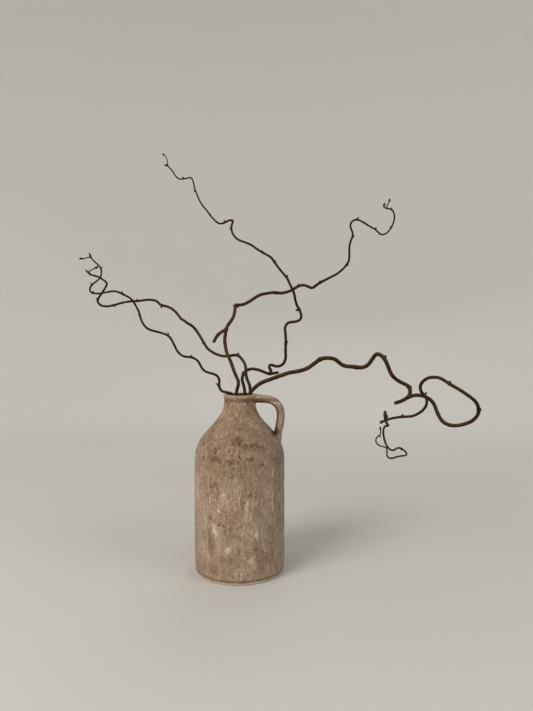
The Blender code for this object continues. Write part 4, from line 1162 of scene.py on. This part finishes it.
def wheel_rings(tree, given, axes):
    """Rings as the potter's finger left them, in mm: a noise of the height alone, a little askew."""
    skewed = add(tree, "ShaderNodeMath", {0: axes[0], 1: RING_SKEW, 2: axes[2]}, operation="MULTIPLY_ADD")
    ringed = add(tree, "ShaderNodeMath", {0: skewed, 1: given["Ring height"]}, operation="DIVIDE")
    rings = add(tree, "ShaderNodeTexNoise", {"W": ringed, "Scale": 1.0, "Detail": 1.0}, noise_dimensions="1D")
    swing = add(tree, "ShaderNodeMath", {0: rings, 1: 0.5}, operation="SUBTRACT")
    return add(tree, "ShaderNodeMath", {0: swing, 1: given["Ring depth"]}, operation="MULTIPLY")


def burst_pits(tree, place, axes):
    """Pits, from 0 to 1, where small stones burst out of the skin, mostly in a band under the shoulder."""
    pit_cells = {"Vector": place, "Scale": PIT_CELLS, "Randomness": 1.0}
    cells = add(tree, "ShaderNodeTexVoronoi", pit_cells).node.outputs
    frayed = add(tree, "ShaderNodeTexNoise", {"Vector": place, "Scale": PIT_FRAYS, "Detail": 2.0})
    from_middle = {0: frayed, 1: -PIT_FRAYED, 2: cells["Distance"]}
    reach = add(tree, "ShaderNodeMath", from_middle, operation="MULTIPLY_ADD")
    hollow = add(tree, "ShaderNodeMapRange", {0: reach, 1: PIT_EDGE[0], 2: PIT_EDGE[1], 3: 1.0, 4: 0.0})
    some = add(tree, "ShaderNodeSeparateXYZ", {0: cells["Color"]})
    low = add(tree, "ShaderNodeMapRange", {0: axes[2], 1: PIT_BAND[0], 2: PIT_BAND[1], 3: 0.0, 4: 1.0})
    high = add(tree, "ShaderNodeMapRange", {0: axes[2], 1: PIT_BAND[2], 2: PIT_BAND[3], 3: 1.0, 4: 0.0})
    band = add(tree, "ShaderNodeMath", {0: low, 1: high}, operation="MULTIPLY")
    chance = add(tree, "ShaderNodeMath", {0: band, 1: PIT_LIKELY, 2: PIT_RARE}, operation="MULTIPLY_ADD")
    picked = add(tree, "ShaderNodeMath", {0: some, 1: chance}, operation="LESS_THAN")
    return add(tree, "ShaderNodeMath", {0: hollow, 1: picked}, operation="MULTIPLY")


def clay_tree(clay):
    """Clay turned by hand and worn: dents, uneven skin, rings and pits, none where the jug stands."""
    tree, given = geometry_tree("worn_clay", CLAY_SIZES)
    position = add(tree, "GeometryNodeInputPosition")
    normal = add(tree, "GeometryNodeInputNormal")
    place = add(tree, "ShaderNodeVectorMath", {0: position, "Scale": 1 / MM}, operation="SCALE")
    axes = add(tree, "ShaderNodeSeparateXYZ", {0: place}).node.outputs
    relief = wheel_rings(tree, given, axes)
    for name, detail in (("Dent", 1.0), ("Skin", 2.0)):
        scale = add(tree, "ShaderNodeMath", {0: 1.0, 1: given[name + " width"]}, operation="DIVIDE")
        noise = add(tree, "ShaderNodeTexNoise", {"Vector": place, "Scale": scale, "Detail": detail})
        swing = add(tree, "ShaderNodeMath", {0: noise, 1: 2.0, 2: -1.0}, operation="MULTIPLY_ADD")
        added = {0: swing, 1: given[name + " depth"], 2: relief}
        relief = add(tree, "ShaderNodeMath", added, operation="MULTIPLY_ADD")
    pit = burst_pits(tree, place, axes)
    sunk = add(tree, "ShaderNodeMath", {0: pit, 1: given["Pit depth"]}, operation="MULTIPLY")
    relief = add(tree, "ShaderNodeMath", {0: relief, 1: sunk}, operation="SUBTRACT")

    standing = add(tree, "ShaderNodeMapRange", {0: axes[2], 1: 0.5, 2: 6.0, 3: 0.0, 4: MM})
    metres = add(tree, "ShaderNodeMath", {0: relief, 1: standing}, operation="MULTIPLY")
    offset = add(tree, "ShaderNodeVectorMath", {0: normal, "Scale": metres}, operation="SCALE")
    marks = {"Geometry": given["Geometry"], "Name": "pit", "Value": pit}
    worn = add(tree, "GeometryNodeStoreNamedAttribute", marks, data_type="FLOAT")
    worn = add(tree, "GeometryNodeSetPosition", {"Geometry": worn, "Offset": offset})
    end_with(tree, add(tree, "GeometryNodeSetShadeSmooth", {"Geometry": worn}), clay)
    return tree


def jug(clay):
    """The jug with its handle, as one piece."""
    body, strap = turned_mesh("jug_body", jug_profile(), JUG_STEPS), handle_mesh()
    keep(body, "of_handle", np.zeros(len(body.polygons)), "FACE")
    keep(strap, "of_handle", np.ones(len(strap.polygons)), "FACE")
    piece = fused(new_object("jug_body", body), new_object("jug_handle", strap))
    sink_lip(piece.data)
    clay_marks(piece.data)
    return new_object("jug_look", grown(piece, clay_tree(clay), CLAY_SIZES))


# Materials

def new_material(name):
    """A material, its tree and its Principled shader."""
    material = bpy.data.materials.new(name)
    material.use_nodes = True
    tree = material.node_tree
    return material, tree, tree.nodes["Principled BSDF"]


def pattern(tree, place, size, detail, roughness):
    """A noise whose features are as wide, deep and tall as size says, in mm, at a place in mm."""
    fine = tuple(1 / side for side in size)
    scaled = add(tree, "ShaderNodeVectorMath", {0: place, 1: fine}, operation="MULTIPLY")
    return add(tree, "ShaderNodeTexNoise", {
        "Vector": scaled, "Scale": 1.0, "Detail": detail, "Roughness": roughness,
    })


def laid(tree, colour, amount, low, high, share, code, within=None):
    """The code's colour laid over colour where amount lies between low and high, up to share."""
    factor = add(tree, "ShaderNodeMapRange", {0: amount, 1: low, 2: high, 3: 0.0, 4: share})
    if within is not None:
        factor = add(tree, "ShaderNodeMath", {0: factor, 1: within}, operation="MULTIPLY")
    return add(tree, "ShaderNodeMix", {0: factor, 6: colour, 7: srgb(code)}, out=2, data_type="RGBA")


def bark_material():
    """Dried hazel bark: dark brown, streaked lengthwise, with painted light on its upper side and painted
    shade, nearly black, underneath.
    """
    material, tree, shader = new_material("dried_hazel_bark")
    place = add(tree, "ShaderNodeAttribute", out="Vector", attribute_name="bark_place")
    groove = add(tree, "ShaderNodeAttribute", out="Fac", attribute_name="groove")
    above = add(tree, "ShaderNodeAttribute", out="Fac", attribute_name="above")
    # Streaks 0.9 mm wide and 14 mm long, and patches of a pale weathered film, about 22 mm long.
    streaks = pattern(tree, place, (0.9, 0.9, 14), 4.0, 0.6)
    colour = add(tree, "ShaderNodeValToRGB", {0: streaks}, stops=[
        (0.30, "#1b0e03"), (0.46, "#2e1a06"), (0.60, "#462d0d"), (0.74, "#68491c"),
    ])
    colour = laid(tree, colour, pattern(tree, place, (6, 6, 22), 3.0, 0.5), 0.52, 0.72, 0.3, "#72562b")
    # Painted light on the upper side and painted shade underneath, by how far each point faces up.
    colour = laid(tree, colour, above, 0.1, 0.9, 0.3, "#6d4d20")
    colour = laid(tree, colour, above, 0.0, -0.9, 0.55, "#160b03")
    # Young wood is darker: the first two coordinates of its place give how far it lies from its middle.
    flat = add(tree, "ShaderNodeVectorMath", {0: place, 1: (1.0, 1.0, 0.0)}, operation="MULTIPLY")
    reach = add(tree, "ShaderNodeVectorMath", {0: flat}, "Value", operation="LENGTH")
    colour = laid(tree, colour, reach, 3.0, 1.5, 0.85, "#1e0c03")
    # Darker down the wrinkles' grooves, and grain too fine for the mesh: 0.25 mm.
    colour = laid(tree, colour, groove, 0.1, -1.0, 0.55, "#120a04")
    grain = pattern(tree, place, (0.25, 0.25, 0.5), 2.0, 0.5)
    feed(shader, {
        "Base Color": colour,
        "Roughness": add(tree, "ShaderNodeMapRange", {0: streaks, 1: 0.3, 2: 0.7, 3: 0.5, 4: 0.8}),
        "Specular IOR Level": 0.12,
        "Normal": add(tree, "ShaderNodeBump", {"Height": grain, "Strength": 0.35, "Distance": 0.1 * MM}),
    })
    return material


def cork_material():
    """Cork in the lenticels: pale, dull brown, mottled over 3 mm."""
    material, tree, shader = new_material("cork_lenticels")
    place = add(tree, "ShaderNodeTexCoord", out="Object")
    mottle = add(tree, "ShaderNodeTexNoise", {"Vector": place, "Scale": 300.0, "Detail": 1.0})
    colour = add(tree, "ShaderNodeValToRGB", {0: mottle}, stops=[(0.35, "#5c4830"), (0.65, "#7f6849")])
    feed(shader, {"Base Color": colour, "Roughness": 0.85, "Specular IOR Level": 0.15})
    return material


def bud_material():
    """Dry bud scales: chestnut brown, mottled over a millimetre, with dark, frayed edges, and the core between
    them darkened as painted shade.
    """
    material, tree, shader = new_material("dry_bud_scales")
    edge = add(tree, "ShaderNodeAttribute", out="Fac", attribute_name="scale_edge_and_core_shade")
    place = add(tree, "ShaderNodeTexCoord", out="Object")
    mottle = add(tree, "ShaderNodeTexNoise", {"Vector": place, "Scale": 900.0, "Detail": 3.0})
    colour = add(tree, "ShaderNodeValToRGB", {0: mottle}, stops=[
        (0.32, "#241307"), (0.55, "#3a2410"), (0.72, "#553c1c"),
    ])
    feed(shader, {
        "Base Color": laid(tree, colour, edge, 0.45, 0.95, 0.75, "#1a0f07"),
        "Roughness": 0.6, "Specular IOR Level": 0.2,
    })
    return material


def cut_material():
    """Weathered end grain: dull tan with darker growth rings, one every 0.55 mm, and a dark pith."""
    material, tree, shader = new_material("cut_hazel_wood")
    radius = add(tree, "ShaderNodeAttribute", out="Fac", attribute_name="ring_radius")
    place = add(tree, "ShaderNodeTexCoord", out="Object")
    waver = add(tree, "ShaderNodeTexNoise", {"Vector": place, "Scale": 1200.0, "Detail": 2.0})
    turn = add(tree, "ShaderNodeMath", {0: radius, 1: 2 * math.pi / 0.55, 2: waver}, operation="MULTIPLY_ADD")
    wave = add(tree, "ShaderNodeMath", {0: turn}, operation="SINE")
    colour = add(tree, "ShaderNodeValToRGB", {0: wave}, stops=[(0.0, "#67502f"), (0.75, "#523d22")])
    feed(shader, {
        "Base Color": laid(tree, colour, radius, 0.5, 0.25, 0.8, "#3b2a1c"), "Roughness": 0.8,
    })
    return material


def clay_ground(tree, place, axes, busy):
    """The clay's cloudy base, browner above the shoulder, and the mottle of a hand-rubbed surface on it."""
    clouds = pattern(tree, place, (26, 26, 34), 7.0, 0.68)
    colour = add(tree, "ShaderNodeValToRGB", {0: clouds}, stops=[
        (0.34, "#6f5a44"), (0.46, "#887159"), (0.56, "#988169"), (0.68, "#a8947e"),
    ])
    brown = add(tree, "ShaderNodeMapRange", {0: axes[2], 1: 262.0, 2: 292.0, 3: 0.58, 4: 0.15})
    colour = laid(tree, colour, axes[2], 140.0, 212.0, 1.0, "#6a523b", brown)
    mottle = pattern(tree, place, (6, 6, 8), 7.0, 0.78)
    colour = laid(tree, colour, mottle, 0.50, 0.64, 0.7, "#b3a08a", busy)
    colour = laid(tree, colour, mottle, 0.49, 0.37, 0.65, "#644c34", busy)
    washes = pattern(tree, place, (15, 15, 50), 6.0, 0.7)
    lower = add(tree, "ShaderNodeMapRange", {0: axes[2], 1: 130.0, 2: 195.0, 3: 1.0, 4: 0.3})
    return laid(tree, colour, washes, 0.50, 0.66, 0.5, "#b6a592", lower)


def brushed(tree, colour, swayed, axes):
    """Brush streaks, pale 5 mm wide and 45 mm long and brown between them, wavering, below the shoulder."""
    below = add(tree, "ShaderNodeMapRange", {0: axes[2], 1: 150.0, 2: 200.0, 3: 1.0, 4: 0.15})
    pale, dark = (pattern(tree, swayed, size, 4.0, 0.6) for size in ((4, 4, 38), (3, 3, 26)))
    colour = laid(tree, colour, pale, 0.54, 0.66, 0.5, "#b9a893", below)
    return laid(tree, colour, dark, 0.46, 0.36, 0.45, "#6b543d", below)


def smudged(tree, colour, place, axes, ragged, scraped):
    """A few brown smudges everywhere, and the marks of soot and of slip, both with ragged edges."""
    above = add(tree, "ShaderNodeMapRange", {0: axes[2], 1: 165.0, 2: 205.0, 3: 0.3, 4: 1.0})
    smudges = pattern(tree, place, (34, 34, 20), 7.0, 0.72)
    colour = laid(tree, colour, smudges, 0.48, 0.62, 0.6, "#644b33", above)
    for name, edge, low, high, share, code in (
        ("soot", ragged, 0.4, 1.0, 0.88, "#4b3119"), ("slip", scraped, 0.5, 1.1, 0.8, "#cdc3b4"),
    ):
        marks = add(tree, "ShaderNodeAttribute", out="Fac", attribute_name=name)
        eaten = {0: edge, 1: MARKS_RAGGED, 2: -MARKS_RAGGED / 2}
        torn = add(tree, "ShaderNodeMath", eaten, operation="MULTIPLY_ADD")
        amount = add(tree, "ShaderNodeMath", {0: marks, 1: torn}, operation="ADD")
        colour = laid(tree, colour, amount, low, high, share, code)
    return colour


def scratched(tree, colour, place, swayed, busy):
    """Fine scratches down the wall, 3 mm wide and 12 mm long, and sand grains, 1.3 mm."""
    scratches = pattern(tree, swayed, (2.6, 2.6, 12), 4.0, 0.7)
    colour = laid(tree, colour, scratches, 0.52, 0.66, 0.42, "#c6bbac", busy)
    colour = laid(tree, colour, scratches, 0.46, 0.34, 0.38, "#59432d", busy)
    grains = pattern(tree, place, (1.3, 1.3, 1.3), 3.0, 0.6)
    colour = laid(tree, colour, grains, 0.56, 0.72, 0.45, "#c3b6a2")
    return laid(tree, colour, grains, 0.45, 0.32, 0.6, "#4d3924")


def height_band(tree, axes, low, high, stops):
    """A mask that is white between the two middle stops, which are shares of the way from low to high."""
    level = add(tree, "ShaderNodeMapRange", {0: axes[2], 1: low, 2: high, 3: 0.0, 4: 1.0})
    codes = ("#000000", "#ffffff", "#ffffff", "#000000")
    return add(tree, "ShaderNodeValToRGB", {0: level}, stops=list(zip(stops, codes)))


def dirt_and_painted_shade(tree, colour, place, axes, ragged, scraped):
    """The lip rubbed pale over a dark ragged line round the neck, and dirt on the neck. Painted shade inside
    the neck, and painted shade with some dirt on the handle's inner side and in the crevice over its foot.
    """
    colour = laid(tree, colour, axes[2], 302.0, 304.0, 0.3, "#b9a78f")
    line = height_band(tree, axes, 290.0, 310.0, (0.26, 0.36, 0.54, 0.64))
    colour = laid(tree, colour, ragged, 0.34, 0.56, 0.85, "#58402b", line)
    rim = add(tree, "ShaderNodeMapRange", {0: axes[2], 1: 296.0, 2: 303.0, 3: 0.0, 4: 1.0})
    colour = laid(tree, colour, scraped, 0.50, 0.62, 0.6, "#5f4731", rim)
    # Painted shade inside the neck: all within 25 mm of the axis and higher than 21 mm, the bore and the lip's
    # inner round, is darkened.
    flat = add(tree, "ShaderNodeVectorMath", {0: place, 1: (1.0, 1.0, 0.0)}, operation="MULTIPLY")
    reach = add(tree, "ShaderNodeVectorMath", {0: flat}, "Value", operation="LENGTH")
    off_floor = add(tree, "ShaderNodeMapRange", {0: axes[2], 1: 20.0, 2: 21.0, 3: 0.0, 4: 1.0})
    colour = laid(tree, colour, reach, 25.0, 22.5, 0.85, "#3d2c1c", off_floor)
    # Painted shade with some dirt on the handle's inner side and in the crevice over its foot.
    for name, low, high, code in (("inner", 0.42, 0.85, "#3a220d"), ("crevice", 0.25, 0.8, "#341d0b")):
        marks = add(tree, "ShaderNodeAttribute", out="Fac", attribute_name=name)
        colour = laid(tree, colour, marks, low, high, 0.88, code)
    return colour


def worn_foot(tree, colour, axes, ragged):
    """The worn foot, a pale bevel under a dark line, and the pits darker."""
    colour = laid(tree, colour, axes[2], 4.6, 3.4, 0.85, "#ccbda9")
    groove = height_band(tree, axes, 0.0, 10.0, (0.44, 0.54, 0.62, 0.85))
    colour = laid(tree, colour, ragged, 0.30, 0.55, 0.75, "#5a432e", groove)
    pits = add(tree, "ShaderNodeAttribute", out="Fac", attribute_name="pit")
    return laid(tree, colour, pits, 0.1, 0.8, 0.85, "#432b16")


def clay_material():
    """Rough low-fired clay: mottled tan, rubbed with pale slip, smudged brown by the fire and by hands."""
    material, tree, shader = new_material("rough_fired_clay")
    metres = add(tree, "ShaderNodeTexCoord", out="Object")
    place = add(tree, "ShaderNodeVectorMath", {0: metres, "Scale": 1 / MM}, operation="SCALE")
    axes = add(tree, "ShaderNodeSeparateXYZ", {0: place}).node.outputs
    patches = pattern(tree, place, (22, 22, 30), 3.0, 0.6)
    busy = add(tree, "ShaderNodeMapRange", {0: patches, 1: 0.38, 2: 0.62, 3: 0.3, 4: 1.0})
    sway = pattern(tree, place, (25, 25, 25), 2.0, 0.5)
    turn = add(tree, "ShaderNodeMath", {0: sway, 1: STREAK_SWAY}, operation="MULTIPLY")
    aside = add(tree, "ShaderNodeCombineXYZ", {0: turn, 1: turn})
    swayed = add(tree, "ShaderNodeVectorMath", {0: place, 1: aside}, operation="ADD")
    ragged = pattern(tree, place, (5, 5, 4), 6.0, 0.75)
    scraped = pattern(tree, swayed, (5, 5, 10), 6.0, 0.72)

    colour = clay_ground(tree, place, axes, busy)
    colour = brushed(tree, colour, swayed, axes)
    colour = smudged(tree, colour, place, axes, ragged, scraped)
    # A pinkish grey bloom on the handle's side and along the left.
    colour = laid(tree, colour, axes[0], 10.0, 80.0, 0.3, "#94837a")
    colour = laid(tree, colour, axes[0], -40.0, -80.0, 0.35, "#a5958a")
    colour = scratched(tree, colour, place, swayed, busy)
    colour = dirt_and_painted_shade(tree, colour, place, axes, ragged, scraped)
    grit = pattern(tree, place, (1.1, 1.1, 1.1), 4.0, 0.6)
    feed(shader, {
        "Base Color": worn_foot(tree, colour, axes, ragged), "Roughness": 0.93, "Specular IOR Level": 0.2,
        "Normal": add(tree, "ShaderNodeBump", {"Height": grit, "Strength": 0.6, "Distance": 0.4 * MM}),
    })
    return material


def backdrop_material():
    """Matte studio paper, pale grey, with a glow that makes the wall far off as bright as the floor."""
    material, tree, shader = new_material("matte_studio_paper")
    place = add(tree, "ShaderNodeTexCoord", out="Object")
    far = add(tree, "ShaderNodeVectorMath", {0: place}, "Value", operation="LENGTH")
    feed(shader, {
        "Base Color": srgb("#bcbab4"), "Roughness": 1.0, "Specular IOR Level": 0.0,
        "Emission Color": srgb("#f4f4f3"),
        "Emission Strength": add(tree, "ShaderNodeMapRange", {0: far, 1: 0.3, 2: 2.0, 3: 0.0, 4: WALL_GLOW}),
    })
    return material


# Stage, light and camera

def backdrop():
    """A floor that bends up into a wall all round, so that every view has the same pale ground."""
    profile = [(FLOOR_RADIUS * 0.5, 0.0)]
    profile += arc((FLOOR_RADIUS, BEND_RADIUS), BEND_RADIUS, -90, 0, parts=16)
    profile.append((FLOOR_RADIUS + BEND_RADIUS, WALL_HEIGHT))
    angles = 2 * np.pi * np.arange(BACKDROP_STEPS) / BACKDROP_STEPS
    places = [(0.0, 0.0, 0.0)]
    for radius, height in profile:
        places += [(radius * math.cos(a), radius * math.sin(a), height) for a in angles]
    faces = [(0, 1 + k, 1 + (k + 1) % BACKDROP_STEPS) for k in range(BACKDROP_STEPS)]
    faces += ring_faces(len(profile), BACKDROP_STEPS, start=1, flipped=True)
    mesh = new_mesh("backdrop", places, faces, unit=1.0)
    mesh.shade_smooth()
    mesh.materials.append(backdrop_material())
    return new_object("backdrop", mesh)


def area_light(name, place, size, power, code):
    """A round soft lamp that shines on the middle of the bunch."""
    light = bpy.data.lights.new(name, "AREA")
    light.shape, light.size, light.energy, light.color = "DISK", size, power, srgb(code)[:3]
    lamp = new_object(name, light)
    lamp.location = place
    lamp.rotation_euler = (Vector(LIT_MIDDLE) - Vector(place)).to_track_quat("-Z", "Y").to_euler()


def studio():
    """Soft daylight from the upper left in front, weak lights from the right and behind, an even surround."""
    area_light("key", (-1.5, -1.6, 1.75), 1.5, 57.5, "#fffaf4")
    area_light("fill", (1.65, -1.05, 1.15), 1.3, 11.0, "#f6f8fc")
    area_light("back", (0.4, 1.8, 1.7), 1.6, 9.0, "#fbfbfb")
    world = bpy.data.worlds.new("surround")
    world.use_nodes = True
    feed(world.node_tree.nodes["Background"], {"Color": srgb("#efefef"), "Strength": 0.5})
    scene = bpy.context.scene
    scene.world = world
    scene.view_settings.view_transform = "Standard"


def picture_camera():
    """The eye of the picture: level, straight on, 0.95 m in front of the jug."""
    camera = bpy.data.cameras.new("picture")
    camera.sensor_width = SENSOR
    camera.lens = FOCAL_PIXELS / PICTURE_HEIGHT * SENSOR
    camera.dof.use_dof = False
    seen = new_object("picture", camera)
    seen.location = Vector(EYE) * MM
    seen.rotation_euler = (math.pi / 2, 0.0, 0.0)
    bpy.context.scene.camera = seen


def finish_piece(piece, node):
    """Put a finished piece on the part's one body, in its node's place."""
    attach(piece, "root")
    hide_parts(node)


def main():
    """Make every piece, then the stage, the lamps and the camera."""
    finish_piece(jug(clay_material()), "jug")
    master = bud_master(bud_material())
    growth = {"wood": wood_tree(bark_material(), cork_material()), "buds": bud_tree(master)}
    cut = cut_material()
    for name, routes, seed in BRANCHES:
        finish_piece(branch(name, routes, seed, growth, cut), name)
    bpy.data.objects.remove(master, do_unlink=True)
    backdrop()
    studio()
    picture_camera()


main()
